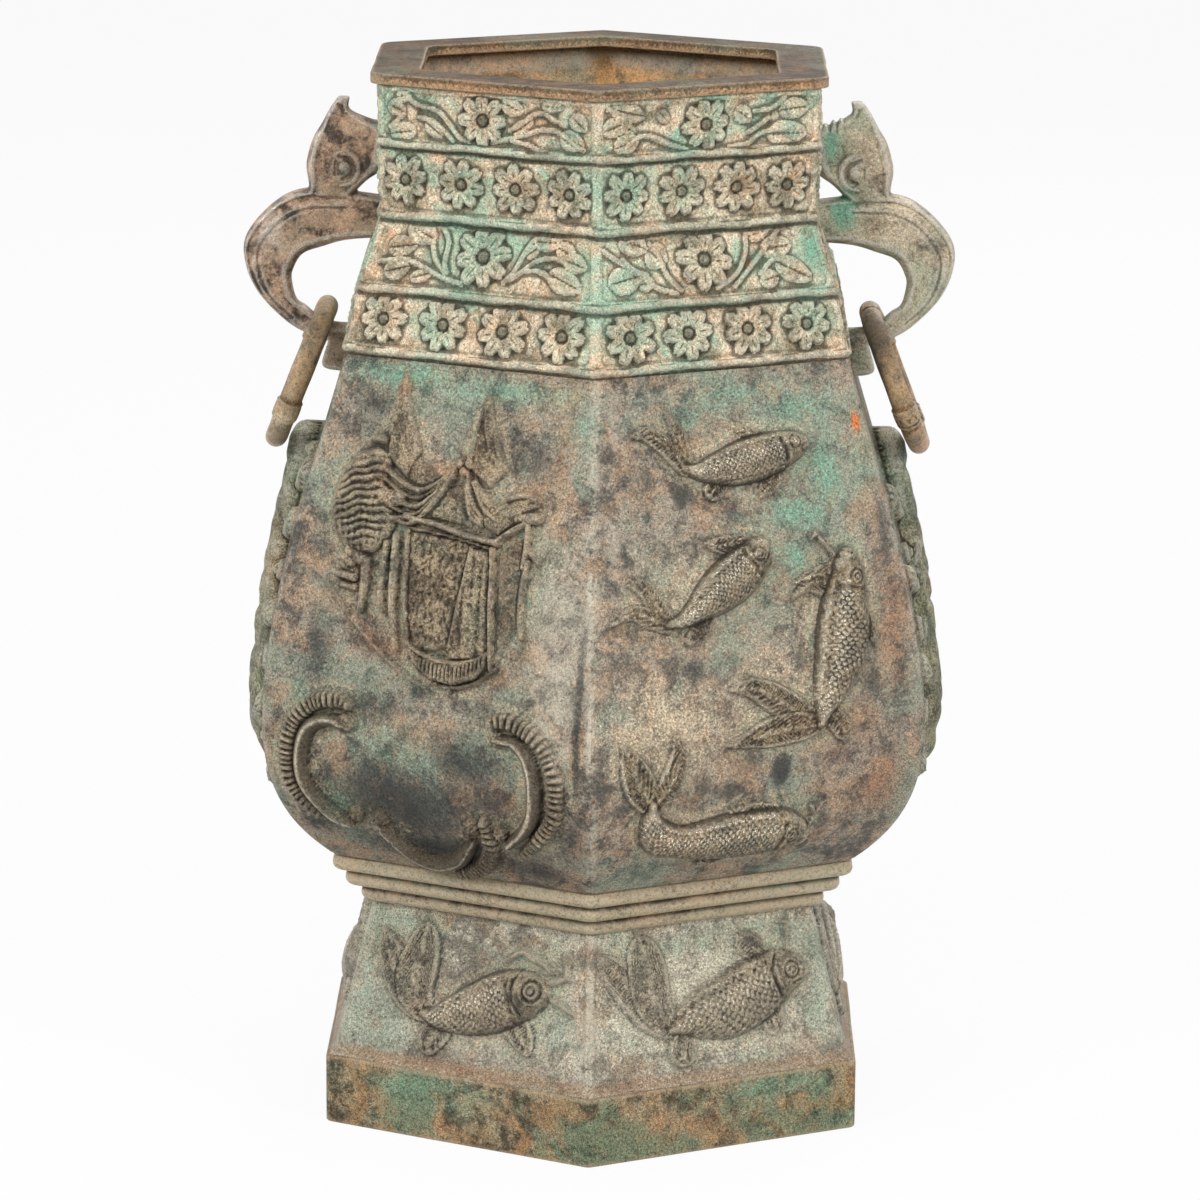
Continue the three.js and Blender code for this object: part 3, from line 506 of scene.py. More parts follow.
bellyFish = [
    {
        "rise": 7.0, "finRise": 3.4, "scale": 2.5, "gill": 0.79, "eye": (26.2, 308.6, 1.7),
        "body": [[-25.5, 301.6, 1.8], [-18.5, 299.8, 3.6], [-9, 300.2, 7.0], [5, 302.4, 9.6],
                 [16, 304.6, 9.0], [25, 306.6, 7.0], [30.5, 307.4, 4.6]],
        "fins": [
            [[-30.5, 325, 0.5], [-26.5, 317, 1.7], [-24.6, 309, 2.0], [-24, 302, 1.8]],
            [[-47.5, 316.2, 0.5], [-41, 317, 1.8], [-34, 312.4, 2.2], [-24.6, 301.8, 2.0]],
            [[-15, 290.5, 1.4], [-12, 292.5, 2.8], [-9, 297, 3]],
            [[9.5, 288.2, 0.8], [13.6, 292.6, 2.6], [17, 298, 3]],
            [[1, 316.5, 0.7], [8, 313, 1.6], [15, 311, 1.4]],
        ],
        "cuts": [[[29.5, 304.6, 0.6], [33.6, 303.4, 0.6]]],
    },
    {
        "rise": 7.0, "finRise": 3.4, "scale": 2.6, "gill": 0.8, "eye": (2.6, 264.6, 1.9),
        "body": [[-41.5, 239.4, 1.8], [-34, 240.8, 3.4], [-27, 244.6, 5.6], [-17, 250.6, 9.4],
                 [-7, 256.4, 10.6], [1.2, 262.4, 8.6], [5.6, 267, 4.8]],
        "fins": [
            [[-56.5, 257, 0.8], [-50.5, 255, 2.2], [-46, 247.5, 2.4], [-41, 240, 2]],
            [[-66.5, 242, 0.4], [-57.5, 245.6, 1.8], [-49, 242.5, 2.4], [-41, 239, 2]],
            [[-31, 232.6, 1.6], [-27.4, 235, 2.6], [-23.5, 239.5, 2]],
            [[-19, 270.5, 0.8], [-12, 269.4, 2.2], [-4, 269.4, 2.2]],
            [[11.5, 259.5, 0.5], [7.6, 262.6, 1.2], [6, 266, 1.4]],
        ],
        "cuts": [[[6, 262, 0.6], [8.6, 264.8, 0.6]]],
    },
    {
        "rise": 7.6, "finRise": 3.6, "scale": 3.6, "gill": 0.79, "eye": (47.3, 251.4, 2.0),
        "body": [[27.4, 191.4, 1.8], [29.6, 198, 4.4], [34, 208, 9], [38.6, 219, 12.4], [41.2, 231, 13],
                 [43.4, 243, 11], [45.6, 253, 8.2], [46.2, 259, 5.0]],
        "fins": [
            [[-13, 209.8, 0.6], [-4, 209.8, 2.4], [7, 204, 3.6], [18, 196.6, 3.6], [27.4, 191.8, 2]],
            [[-17, 186.6, 0.5], [-6, 188.2, 2.2], [6, 190.4, 3.8], [18, 191.2, 3.6], [27.4, 191, 2]],
            [[39.5, 184.4, 1.0], [38.6, 188.4, 2.6], [34, 194, 2.6]],
            [[18.5, 245, 0.6], [25, 249.5, 1.6], [32, 250.6, 3.2], [37, 248.6, 3.4]],
            [[20.5, 251.5, 0.5], [27, 253, 1.4], [35, 254, 2.2]],
            [[56.5, 222.5, 0.6], [54, 229, 1.8], [51, 234, 2]],
        ],
        "cuts": [[[38.6, 262, 0.7], [43.6, 262.4, 0.7], [47, 261, 0.7]]],
        "whiskers": [[[33, 270, 0.9], [36.4, 265.4, 1.0], [40, 261, 1.2]], [[30, 268, 0.5],
                                                                            [33, 270.5, 1.5]]],
    },
    {
        "rise": 7.4, "finRise": 3.6, "scale": 3.0, "gill": 0.82, "eye": (17, 146.2, 1.8),
        "body": [[-51.5, 165, 2.2], [-50.4, 156, 5.4], [-45, 149.2, 7.8], [-36, 146.4, 7.6],
                 [-25, 145.8, 9.2], [-8, 146.4, 11.4], [8, 146.4, 11.2], [18, 144.6, 8.4], [24, 142.6, 4.4]],
        "fins": [
            [[-65.5, 191.4, 0.5], [-61.5, 183, 3], [-57, 173, 4.2], [-51.5, 164, 2.4]],
            [[-40.5, 194.4, 0.5], [-39.4, 185, 2.4], [-42.5, 174.5, 3.2], [-50, 164.5, 2.6]],
            [[-20, 133.5, 0.8], [-14, 136.5, 1.8], [-8, 139, 2]],
            [[-12, 157.5, 0.8], [-2, 157.6, 1.6], [8, 156, 1.6]],
        ],
        "cuts": [[[21, 139.6, 0.6], [26, 141.4, 0.6]]],
        "whiskers": [[[25, 144, 0.9], [28.5, 150, 0.9], [27, 155, 0.9]], [[28, 151.5, 0.6], [33, 158, 0.5]],
                     [[11.4, 163.4, 1.6], [12.6, 160, 0.9]]],
    },
]
footFishRight = {
    "rise": 6.4, "finRise": 3.6, "scale": 3.9, "gill": 0.74, "eye": (38.2, 72.4, 2.3), "finWide": 2.1,
    "body": [[-21.5, 53.6, 2.2], [-16, 55.2, 4.6], [-10.5, 57.4, 8.0], [-2, 59, 11.8], [8, 60.6, 14.2],
             [18, 64.4, 14.6], [27, 68.4, 13], [34, 71.2, 10.6], [40, 71.6, 7.6], [44, 70.8, 4.6]],
    "fins": [
        [[-51, 87.4, 1.0], [-44, 80, 3.4], [-36, 71, 4.6], [-28.6, 61.6, 4.4], [-21.5, 54.4, 2.6]],
        [[-32, 93.4, 0.8], [-30, 86, 4.0], [-29.4, 76, 5.0], [-28, 65, 4.4], [-22, 55.6, 2.6]],
        [[-17.6, 40.4, 1.0], [-16.6, 44.4, 3.4], [-15.4, 49, 2.4], [-15, 52.6, 2.8]],
        [[15.5, 88.4, 0.8], [19, 85.8, 2.4], [23, 82, 3]],
        [[29.4, 46.4, 0.8], [28.6, 51, 2.8], [27, 56, 3]],
    ],
    "cuts": [[[33.6, 82, 0.8], [29.6, 76, 1.0], [29.4, 69, 1.0], [32.6, 61.6, 0.8]], [[38.6, 66.4, 0.6],
                                                                                      [43.6, 68, 0.6]]],
    "whiskers": [[[36.4, 93, 0.6], [40.4, 91.4, 1.2], [39.4, 86, 1.0], [38.6, 80, 1.4]]],
}
footFishLeft = {
    "rise": 6.4, "finRise": 3.6, "scale": 3.3, "gill": 0.7, "eye": (31.3, 70.9, 2.9), "finWide": 2.1,
    "body": [[-21, 54, 2.0], [-13, 53.4, 5.4], [-4, 56.2, 9], [6, 60, 11.8], [15, 64, 13], [23, 67.2, 11.8],
             [30, 69.8, 8.8], [35.4, 70.8, 5]],
    "fins": [
        [[-45, 86, 0.8], [-41, 77, 3.0], [-35, 67.6, 4.0], [-28, 60, 4.0], [-21.5, 54.6, 2.4]],
        [[-24.6, 91, 0.8], [-25, 84, 3.6], [-26.6, 74, 4.8], [-27, 64, 4.4], [-22, 55.6, 2.6]],
        [[-16.4, 38.4, 0.8], [-16, 43, 3], [-13, 48, 3.2]],
        [[31.4, 44.4, 0.8], [28.8, 49.4, 2.6], [24, 55, 3.4]],
    ],
    "cuts": [[[24, 79, 0.8], [21.6, 73, 1.0], [22.6, 66, 1.0], [27, 60, 0.8]]],
    "whiskers": [[[35, 74, 2.0], [41, 76.4, 2.0], [45.6, 79.6, 1.6], [42.6, 87, 0.8]],
                 [[38, 79.4, 1.2], [34, 82.4, 1.6], [28, 84.4, 2.0], [22, 86, 1.4], [16, 81.6, 1.2]],
                 [[36.4, 69.8, 1.6], [43, 67, 1.4], [50.4, 63.6, 0.7]]],
}


# Pavilion and scrolls of the front left face

def carvePavilion(relief):
    dome = [[-36, 304.5], [-45.5, 301], [-51.5, 293], [-54.6, 284], [-54.4, 275], [-51, 267.5],
            [-45.5, 261.5], [-39, 258.6], [-31.5, 260], [-25, 265], [-21, 274], [-23, 281], [-29, 287],
            [-27.5, 295], [-27, 302]]

    def domeRibs(u, z):
        waves = z - 0.22 * (u + 40) + 0.014 * (u + 38) ** 2
        waves = waves + 0.45 * np.sin(u * 0.5 + z * 0.2) + 0.3 * np.sin(z * 0.9)
        ring = np.cos(2 * math.pi * waves / 3.3)
        net = np.cos(2 * math.pi * (u + 0.12 * z + 0.4 * np.sin(z * 0.7)) / 3.0) * np.clip((287 - z) / 9, 0, 1)
        return 0.8 * ring + 0.34 * net * np.clip((-31 - u) / 4 + 0.4, 0.2, 1) + 0.25 * hammered(u, z, 3.3)

    relief.stroke([[-38, 300, 14], [-40, 282, 19], [-38, 264, 16]], 1.6, bump)
    relief.patch(dome, 5.6, 8, domeRibs)
    for rise, line in (
        (4.6, [[-42, 260.6, 3.2], [-36, 257.6, 3.6]]), (4.2, [[-44.4, 258, 2.6], [-40, 255.6, 2.6]]),
        (4.4, [[-46.0, 250.6, 2.2], [-38.6, 249.6, 2.4]]), (4.0, [[-45.0, 246.4, 1.8], [-38.0, 245.6, 2.0]]),
        (3.8, [[-34, 257, 2.8], [-33.4, 247, 2.6], [-34, 236.6, 1.4]]), (3.0, [[-44, 254, 2.4],
                                                                               [-38, 252, 3.2]]),
        (6.0, [[-37.6, 307, 2.0], [-33, 307, 2.2]]),
    ):
        relief.stroke(line, rise)
    relief.stroke([[-31, 306, 9], [-16, 296, 10], [-6, 290, 8]], 2.6, bump)
    # Spires that sink into the wall
    relief.patch([[-29, 337], [-27.6, 337], [-23, 322], [-15, 304], [-20, 292], [-31, 300],
                  [-32, 312]], 3.6, 2.2)
    relief.patch([[11.4, 330], [13.4, 330], [18, 318], [27, 300], [20, 292], [10, 298], [8.6, 312]], 3.4, 2.2)
    for line in ([[-27.6, 331, 0.5], [-25, 319, 1.0], [-20, 305, 1.0]], [[-29, 331, 0.5], [-30, 318, 0.9],
                                                                         [-30.6, 309, 0.8]],
                 [[12.8, 324, 0.5], [15, 314, 1.0], [20, 303, 1.0]], [[11.6, 324, 0.5], [10.6, 314, 0.9],
                                                                      [10, 304, 0.8]]):
        relief.stroke(line, 4.3)
    # Hanging folds of the canopy
    for share in np.linspace(0, 1, 5):
        drop = 15.5 * share
        fold = [[-31.5, 296 - drop * 0.95, 1.1], [-24, 291.5 - drop, 1.3], [-14, 288 - drop * 0.86, 1.35],
                [-6, 291 - drop * 0.55, 1.3], [2.6, 298 - drop * 0.2, 1.0]]
        relief.stroke(fold, 4.4 + 0.5 * (share > 0.6), bump if share in (0.25, 0.75) else rounded)
    for drop in (0.0, 2.8, 5.4):
        relief.stroke([[9, 297 - drop, 1.0], [12.5, 287 - drop, 1.2], [18.6, 280 - drop * 0.6, 1.2]], 4.4)
    relief.patch([[-17, 281], [-2, 290], [6, 293], [12, 276],
                  [-10, 276.4]], 2.4, 3, lambda u, z: 0.3 * hammered(u, z, 4))
    for u, z, radius, rise in ((4.6, 300.6, 2.6, 4.6), (9.2, 301.2, 3.0, 4.9), (7, 297.6, 2.8, 4.8),
                               (8.6, 304.4, 2.0, 4.2)):
        relief.bead(u, z, radius, rise, onTop=False)
    relief.stroke([[-31, 285, 3], [-27, 283, 5], [-22, 284, 4]], 5.6)
    # Wing of the roof with its knobs
    relief.patch([[11, 299], [17, 292], [24, 286], [33, 290], [43, 293], [45.6, 288], [36, 280], [28, 272.6],
                  [20, 276], [14, 284]], 3.4, 3)
    relief.stroke([[12, 294, 1.0], [19, 284, 1.1], [26, 279.4, 1.0]], 4.6)
    relief.stroke([[29, 283, 2.8], [35.4, 283.6, 3.6]], 4.4)
    relief.stroke([[36, 281.6, 2.6], [44.4, 282.4, 3.0]], 4.6)
    relief.stroke([[30, 289, 1.6], [37, 291, 1.8], [43.4, 289.6, 1.8]], 4.2)
    relief.stroke([[43, 279, 0.7], [42, 275.6, 0.7]], 3)
    # Eaves
    relief.stroke([[-24, 275.4, 1.2], [-16, 276.4, 1.4], [-2, 275, 1.5], [12, 272.2, 1.6],
                   [27.6, 270.6, 1.7]], 5.6)
    relief.stroke([[-15, 272.6, 0.7], [6, 271, 0.7], [27, 267.6, 0.7]], 4.4)
    relief.stroke([[27, 271, 1.3], [33, 275.6, 1.5], [40, 280, 1.4]], 5.2)
    # The box: a rough panel, a smooth panel at a slant and the shaded space beside it
    relief.patch([[-15, 272], [15, 270], [13.4, 250], [11.2, 226], [-6, 221], [-11, 236]], 2.9, 1.8,
                 lambda u, z: 0.5 * hammered(u, z * 0.7, 3.6, 2))
    relief.stroke([[-15.4, 271, 1.5], [-14.0, 258, 1.2], [-13.0, 246, 1.5], [-9.6, 225, 1.2]], 4.2)
    relief.patch([[15.6, 268], [24, 267], [27.6, 246], [29.4, 222], [10.4, 221], [11.6, 246]], 3.7, 1.6,
                 lambda u, z: 0.22 * (hammered(u, z, 6, 5) + np.cos(2 * math.pi * (u + (z - 245) * 0.05) / 4.2)))
    relief.stroke([[16.0, 268, 0.9], [13.6, 246, 1.0], [10.8, 225, 1.0]], 4.6)
    relief.stroke([[25.8, 268, 1.5], [27.2, 258, 1.1], [28.4, 246, 1.5], [30, 232, 1.1],
                   [31.6, 219, 0.9]], 4.9)
    relief.patch([[29, 268], [39.4, 275], [40.4, 262], [41, 238], [32, 224], [29.6, 246]], 1.6, 3,
                 lambda u, z: 0.25 * hammered(u, z, 4, 3))
    # Posts
    relief.stroke([[-24.6, 265, 2.0], [-25, 253, 2.2], [-24.4, 243, 1.9], [-22.4, 237, 0.8]], 4.8)
    relief.stroke([[-20.6, 269, 1.9], [-19.6, 255, 2.2], [-18.4, 240, 2.0], [-14.2, 222, 0.9]], 5.2)
    for height in (262, 258, 254, 246):
        relief.groove([[-27, height, 0.6], [-17.4, height + 1, 0.6]], 0.8)
    relief.stroke([[40.6, 280, 1.8], [41.6, 272, 1.6], [41.2, 262, 1.3]], 4.4)
    relief.stroke([[43, 268.6, 1.2], [47.4, 264.4, 1.0]], 3.2)
    relief.stroke([[43, 264.6, 1.2], [42.2, 252, 1.7], [43.4, 238, 1.6], [44.2, 233.6, 1.2]], 4.2)
    # The fringed sill
    sill = [[-9.6, 225.4], [-6.4, 217.6], [3, 211.4], [14, 210], [24, 213.6], [30.4, 220.4], [31, 227],
            [22, 222.4], [10, 219.6], [-1, 221.6]]
    relief.patch(sill, 5.0, 2.4,
                 lambda u, z: 0.75 * np.cos(2 * math.pi * (u - 10) / (1.9 - 0.004 * (z - 215))))
    relief.stroke([[-8.6, 225, 0.8], [0, 221.4, 0.9], [12, 219.6, 0.9], [24, 222.4, 0.9],
                   [31, 226.6, 0.8]], 5.6)
    relief.stroke([[-8.6, 220, 0.7], [3, 211.2, 0.8], [14, 209.6, 0.8], [25, 213, 0.8], [34, 220, 0.8]], 4.0)
    relief.lift += np.where(relief.lift > 1.2, 0.16 * hammered(relief.across, relief.height, 2.6, 1), 0)
    # Painted shade on the low parts of the raised carving
    low = 1 - np.clip((relief.lift - 1) / 4, 0, 1)
    relief.dark = np.maximum(relief.dark, 0.55 * (relief.lift > 0.9) * low)
    # A thin tendril below
    relief.stroke([[-61, 252, 0.5], [-53, 247, 0.7], [-42, 236, 0.8], [-29, 224.6, 0.8], [-12, 212.6, 0.9],
                   [0, 208, 0.8]], 1.3)


scrolls = [
    {
        "tube": [[-38.6, 187.6, 2.4], [-42, 188.8, 2.9], [-48.6, 188.2, 3.2], [-55.6, 183.4, 3.5],
                 [-59, 173, 3.6], [-58.8, 162, 3.6], [-53.8, 153.6, 3.5], [-46, 146.6, 3.1],
                 [-38, 144.6, 2.3]],
        "crest": [[-36.4, 196.6, 3.0], [-41, 197.6, 3.7], [-50.5, 196.4, 3.9], [-58.6, 191.2, 4.0],
                  [-64.2, 182.6, 4.0], [-66.6, 171.8, 3.9], [-66.4, 161, 3.7], [-62, 152, 3.3],
                  [-54, 145.4, 2.4]],
        "knobs": [(-37.4, 188.6, 4.4), (-35.6, 148.6, 3.8)], "pitch": 2.6,
    },
    {
        "tube": [[-23, 143.4, 2.5], [-18, 137.4, 3.3], [-12, 131.8, 3.8], [-3.4, 129.2, 3.9],
                 [8.2, 132.6, 3.6], [15.6, 138.6, 3.0], [18.6, 142, 2.2]],
        "crest": [[27.4, 152.6, 2.6], [28.2, 147, 3.6], [26.8, 139.4, 4.0], [20.6, 131.6, 4.0],
                  [11.2, 126.4, 3.4], [3.6, 124.2, 2.2]],
        "knobs": [(-24.2, 147.6, 4.2), (20.4, 149.4, 4.4)], "pitch": 2.5,
    },
    {
        "tube": [[38.6, 190.6, 2.4], [45.6, 189.8, 2.9], [51.4, 183.6, 3.3], [53.8, 173.4, 3.5],
                 [52.4, 161, 3.5], [46.6, 152, 3.0], [38.4, 145.4, 2.2]],
        "crest": [[33.6, 197.6, 3.0], [39.4, 198.4, 3.7], [47.2, 196.6, 4.0], [55.2, 192, 4.0],
                  [61.2, 184.2, 4.0], [64, 174.6, 4.0], [62.8, 162.6, 3.9], [57.2, 153.6, 3.7],
                  [48.6, 144.6, 3.0], [42, 140, 2.0]],
        "knobs": [(36.4, 190.6, 4.0), (34.8, 149.4, 3.6)], "pitch": 2.9,
    },
]


def carveScrolls(relief):
    for scroll in scrolls:
        crest = relief.trace(scroll["crest"])
        run = crest["run"] + 0.5 * np.sin(crest["run"] * 0.4)
        ribs = 0.5 + 0.5 * np.cos(run * 2 * math.pi / scroll["pitch"])
        lift = 5.0 * cushion(crest["q"]) * (0.66 + 0.34 * ribs ** 0.6)
        relief.raiseTo(crest, lift)
        # Painted shade between the ribs of the crest and painted highlights on them
        relief.paintShadeAndHighlight(crest, 0.95 * (1 - ribs), 0.4 * ribs ** 2)
        for across, height, radius in scroll["knobs"]:
            du, dz = relief.across - across, relief.height - height
            reach = np.hypot(du, dz) / radius
            rays = 0.5 + 0.5 * np.cos(np.arctan2(dz, du) * 9)
            knob = 6.2 * rounded(reach * (1 + 0.08 * rays)) * (1 - 0.3 * rays * easeIn(reach / 0.5))
            inside = reach < 1
            relief.lift[inside] = np.maximum(relief.lift[inside], knob[inside])
            relief.hoop(across, height, radius * 0.36, 0.5, -0.9)
        tube = relief.trace(scroll["tube"])
        relief.raiseTo(tube, 6.4 * rounded(tube["q"]))
        # A painted highlight along the tube and painted shade on its sides
        shine = np.exp(-((tube["side"] + 0.1) / 0.17) ** 2)
        relief.paintShadeAndHighlight(tube, 0.95 * easeIn((np.abs(tube["side"] + 0.1) - 0.1) / 0.3), 0.95 * shine)
        ends = np.exp(-((tube["run"] - 5) / 0.5) ** 2)
        ends = ends + np.exp(-((tube["length"] - tube["run"] - 5) / 0.5) ** 2)
        relief.add(tube, -0.8 * ends)


# Rock with pines of the side faces

def carveRockery(relief, perch):
    trunk = [[0, perch["height"] + 3, 8, perch["lift"]], [0, perch["height"] - 14, 14, perch["lift"] - 1.5],
             [-4, 250, 16, 11], [4, 228, 19, 10], [0, 203, 22, 9.6], [0, 180, 23, 11], [0, 160, 18, 10.6],
             [0, 149, 9.6, 7]]
    shape = relief.trace([row[:3] for row in trunk])
    z = relief.height[shape["near"]]
    u = relief.across[shape["near"]]
    levels = [row[1] for row in trunk][::-1]
    rises = [row[3] for row in trunk][::-1]
    rise = np.interp(z, levels, rises)
    folds = np.sin(u * 0.42 + 2.2 * np.sin(z * 0.11))
    folds = folds + 0.7 * np.sin(u * 0.21 - z * 0.33 + 1.4 * np.sin(z * 0.07))
    ledges = 0.9 * np.abs(np.sin(z * 0.17 + 0.6 * np.sin(u * 0.2)))
    lift = (rise - 1.6) * np.clip(1 - shape["q"] ** 3, 0, 1) ** 0.6
    lift = lift + 0.8 * folds * (1 - shape["q"] ** 4) + ledges
    relief.raiseTo(shape, np.minimum(lift, rise) * (1 - shape["q"] ** 12))
    boughs = [(-9, 262, -36, 275), (10, 252, 40, 263), (-12, 232, -48, 242), (14, 214, 52, 225),
              (-14, 196, -56, 203), (14, 178, 56, 185), (-12, 162, -50, 160), (8, 272, 28, 283),
              (12, 160, 46, 152)]
    for number, (u0, z0, u1, z1) in enumerate(boughs):
        relief.stroke([[u0, z0, 3.4], [(u0 + u1) / 2, (z0 + z1) / 2 - 2, 2.6], [u1, z1, 1.6]], 5.0)
        for place in (0.45, 0.72, 1.0):
            u, z = u0 + (u1 - u0) * place, z0 + (z1 - z0) * place
            size = 8.6 - 1.6 * place
            du, dz = relief.across - u, relief.height - z - 1.5
            reach = np.hypot(du, dz * 1.25) / size
            needles = 0.5 + 0.5 * np.cos(np.arctan2(dz + 3.5, du) * 15 + number)
            lift = 4.6 * rounded(reach) * (0.72 + 0.28 * needles)
            inside = reach < 1
            relief.lift[inside] = np.maximum(relief.lift[inside], lift[inside])
    for u, z, radius in ((-20, 248, 5), (22, 238, 5), (-26, 216, 6), (27, 200, 6), (-28, 180, 6), (28, 166, 5),
                         (-16, 152, 5), (16, 290, 4)):
        relief.bead(u, z, radius, 5.2, onTop=False)
        relief.hoop(u, z, radius * 0.55, 0.8, -0.9)


# Flowers and vines of the neck

# Leaf scrolls, drawn in steps over an enlarged view of each band. A stem is a row of points, and a
# leaf is (start across, start down, end across, end down, half width). The view starts at its corner on the
# face, and 1000 steps across or down it are these moves there, in millimetres across and up.
vines = {
    "left": [
        {
            "corner": (-57.7, 453.2), "across": (94.0, 7.0), "down": (0.4, -81.6),
            "stems": [[(195, 45), (255, 100), (360, 135), (420, 200), (470, 270), (520, 300)],
                      [(265, 165), (340, 190), (400, 245), (440, 290)], [(120, 215), (190, 150)],
                      [(640, 300), (720, 280), (800, 262), (880, 235), (960, 240), (1030, 285), (1100, 340)],
                      [(730, 235), (790, 205), (840, 160), (900, 150), (960, 190)],
                      [(740, 290), (820, 310), (880, 345)]],
            "leaves": [(110, 95, 200, 145, 27), (120, 250, 255, 235, 36), (300, 190, 390, 270, 26),
                       (690, 90, 795, 145, 30), (985, 265, 1105, 325, 36), (1040, 160, 1115, 240, 30),
                       (890, 110, 1000, 120, 20), (740, 250, 850, 180, 22), (150, 60, 230, 50, 22)],
        },
        {
            "corner": (-66.9, 449.5), "across": (93.2, 7.9), "down": (14.2, -78.3),
            "stems": [[(380, 715), (410, 800), (390, 900), (400, 960)],
                      [(60, 900), (180, 890), (280, 930), (380, 985), (480, 1020)],
                      [(330, 800), (340, 880), (395, 970)],
                      [(690, 1010), (740, 960), (790, 870), (840, 800), (895, 770)],
                      [(720, 1000), (790, 950), (860, 900), (950, 890), (1010, 920)],
                      [(790, 950), (880, 960), (930, 1000)]],
            "leaves": [(210, 710, 350, 795, 42), (100, 830, 250, 815, 36), (80, 955, 215, 925, 34),
                       (215, 990, 330, 960, 22), (845, 800, 990, 810, 32), (960, 830, 1050, 890, 30),
                       (990, 890, 1105, 945, 32), (915, 965, 1080, 1055, 40), (800, 880, 870, 830, 22)],
        },
    ],
    "right": [
        {
            "corner": (-57.3, 461.1), "across": (94.2, -5.1), "down": (0.9, -81.4),
            "stems": [[(300, 255), (370, 290), (430, 310), (490, 330)],
                      [(200, 300), (260, 260), (330, 265), (400, 300)], [(100, 120), (190, 160), (270, 165)],
                      [(700, 315), (790, 300), (850, 250), (930, 225), (1000, 215)],
                      [(800, 240), (850, 205), (900, 165)], [(830, 130), (900, 120), (950, 90), (980, 60)]],
            "leaves": [(110, 120, 290, 160, 34), (75, 240, 225, 170, 34), (135, 325, 255, 270, 36),
                       (735, 120, 815, 180, 30), (895, 250, 1100, 240, 44), (955, 125, 1110, 105, 36),
                       (350, 130, 400, 190, 20), (150, 200, 240, 240, 20)],
        },
        {
            "corner": (-47.6, 457.5), "across": (93.7, -6.0), "down": (-12.2, -78.0),
            "stems": [[(75, 830), (160, 890), (260, 960), (350, 1025), (450, 1055)],
                      [(310, 800), (360, 870), (400, 960), (470, 1040)], [(180, 880), (230, 930), (300, 960)],
                      [(650, 1025), (740, 960), (790, 850), (790, 740)],
                      [(740, 1015), (830, 900), (890, 820), (955, 720)],
                      [(870, 950), (930, 880), (1000, 890), (1115, 955)]],
            "leaves": [(160, 770, 305, 830, 40), (115, 1010, 280, 960, 44), (260, 1010, 340, 990, 26),
                       (870, 830, 1025, 800, 40), (940, 890, 1130, 980, 40), (870, 995, 960, 960, 31),
                       (800, 760, 905, 725, 26), (300, 830, 400, 900, 44)],
        },
    ],
}
flowers = {
    "left": [(-2, 442.2, 11.2, 0.06), (-39.6, 414.5, 10.4, 0.03), (-12.8, 414.3, 10.6, 0.09),
             (13.1, 414.3, 10.8, 0.05), (38.9, 414.1, 10.3, 0.0), (0.2, 385.2, 13.2, 0.03),
             (-43, 356.2, 10.6, 0.05), (-14.2, 356, 11.2, 0.1), (14.4, 355.8, 11.4, 0.02),
             (42.6, 356.2, 11, 0.07)],
    "right": [(-2, 442, 10.8, 0.04), (-38.4, 414, 10.4, 0.07), (-12.4, 414.4, 10.6, 0.02),
              (13.4, 414.6, 10.6, 0.08), (37.6, 414.2, 10.2, 0.05), (-3.4, 385.4, 13, 0.09),
              (-42.4, 356, 11.2, 0.0), (-15, 356.2, 11.2, 0.05), (13, 356.2, 11, 0.02),
              (41.2, 356.2, 10.8, 0.09)],
}


leafStep = 0.095  # millimetres of a leaf's half width for one step


def placeOnFace(band, point):
    return np.add(band["corner"], np.dot(np.divide(point, 1000), [band["across"], band["down"]]))


def carveNeckOrnament(relief, side, squeeze, handleBehind):
    for across, height, radius, turn in flowers[side]:
        if handleBehind and abs(across) < 20:
            continue
        size = radius * min(1, squeeze + 0.08)
        relief.blossom(across * squeeze, height, size if radius > 12 else size * 1.04, turn)
    gap = 16 if handleBehind else 0
    for band in vines[side]:
        for stem in band["stems"]:
            points = [placeOnFace(band, point) for point in stem]
            if abs(points[0][0]) > gap and abs(points[-1][0]) > gap:
                relief.stroke([[across * squeeze, height, 1.0] for across, height in points], 1.8)
    for band in vines[side]:
        for *ends, half in band["leaves"]:
            (u0, z0), (u1, z1) = placeOnFace(band, ends[:2]), placeOnFace(band, ends[2:])
            if min(abs(u0), abs(u1)) > gap:
                relief.leaf([u0 * squeeze, z0], [u1 * squeeze, z1], half * leafStep * 1.4)
    for across, height in ((-26, 420), (26.4, 408), (0, 420.6), (-29, 349.6), (0, 349), (28, 348.6),
                           (-50, 420)):
        if abs(across) > gap:
            relief.bead(across * squeeze, height, 1.3, 1.1)


# Outer wall: half widths against heights, between the joints of the cast sections

joints = {"plinth": 30.5, "foot": 98.0, "belly": 120.8, "neck": 340.0, "lip": 454.2, "top": 459.0}
widest = (142, 182)
bellySurface = Surface(np.vstack([
    bezierLine([(113.6, joints["belly"]), (127.8, 133.04), (142, 150.18), widest]),
    bezierLine([widest, (142, 235.7), (117.85, 297.3), (107.5, joints["neck"])])[1:],
]))
neckLine = [[107.2, joints["neck"]], [101, 368.5], [92.2, 399], [92.8, 429.5], [93.3, joints["lip"]]]
neckSurface = Surface(smoothLine(neckLine, 12))
footSurface = Surface([[114.4, joints["plinth"]], [111.2, 35.3], [95.6, joints["foot"]]])

sheet = 1.0  # how much coarser the grids are


def blurGrid(values, cells):
    reach = max(1, int(round(cells)))
    for axis in (0, 1, 0, 1):
        pads = [(reach, reach) if number == axis else (0, 0) for number in (0, 1)]
        total = np.cumsum(np.pad(values, pads, mode="edge"), axis=axis)
        start = np.zeros_like(np.take(total, [0], axis=axis))
        total = np.concatenate([start, total], axis=axis)
        window = 2 * reach + 1
        size = total.shape[axis]
        ahead = np.take(total, range(window, size), axis=axis)
        behind = np.take(total, range(size - window), axis=axis)
        values = (ahead - behind) / window
    return values


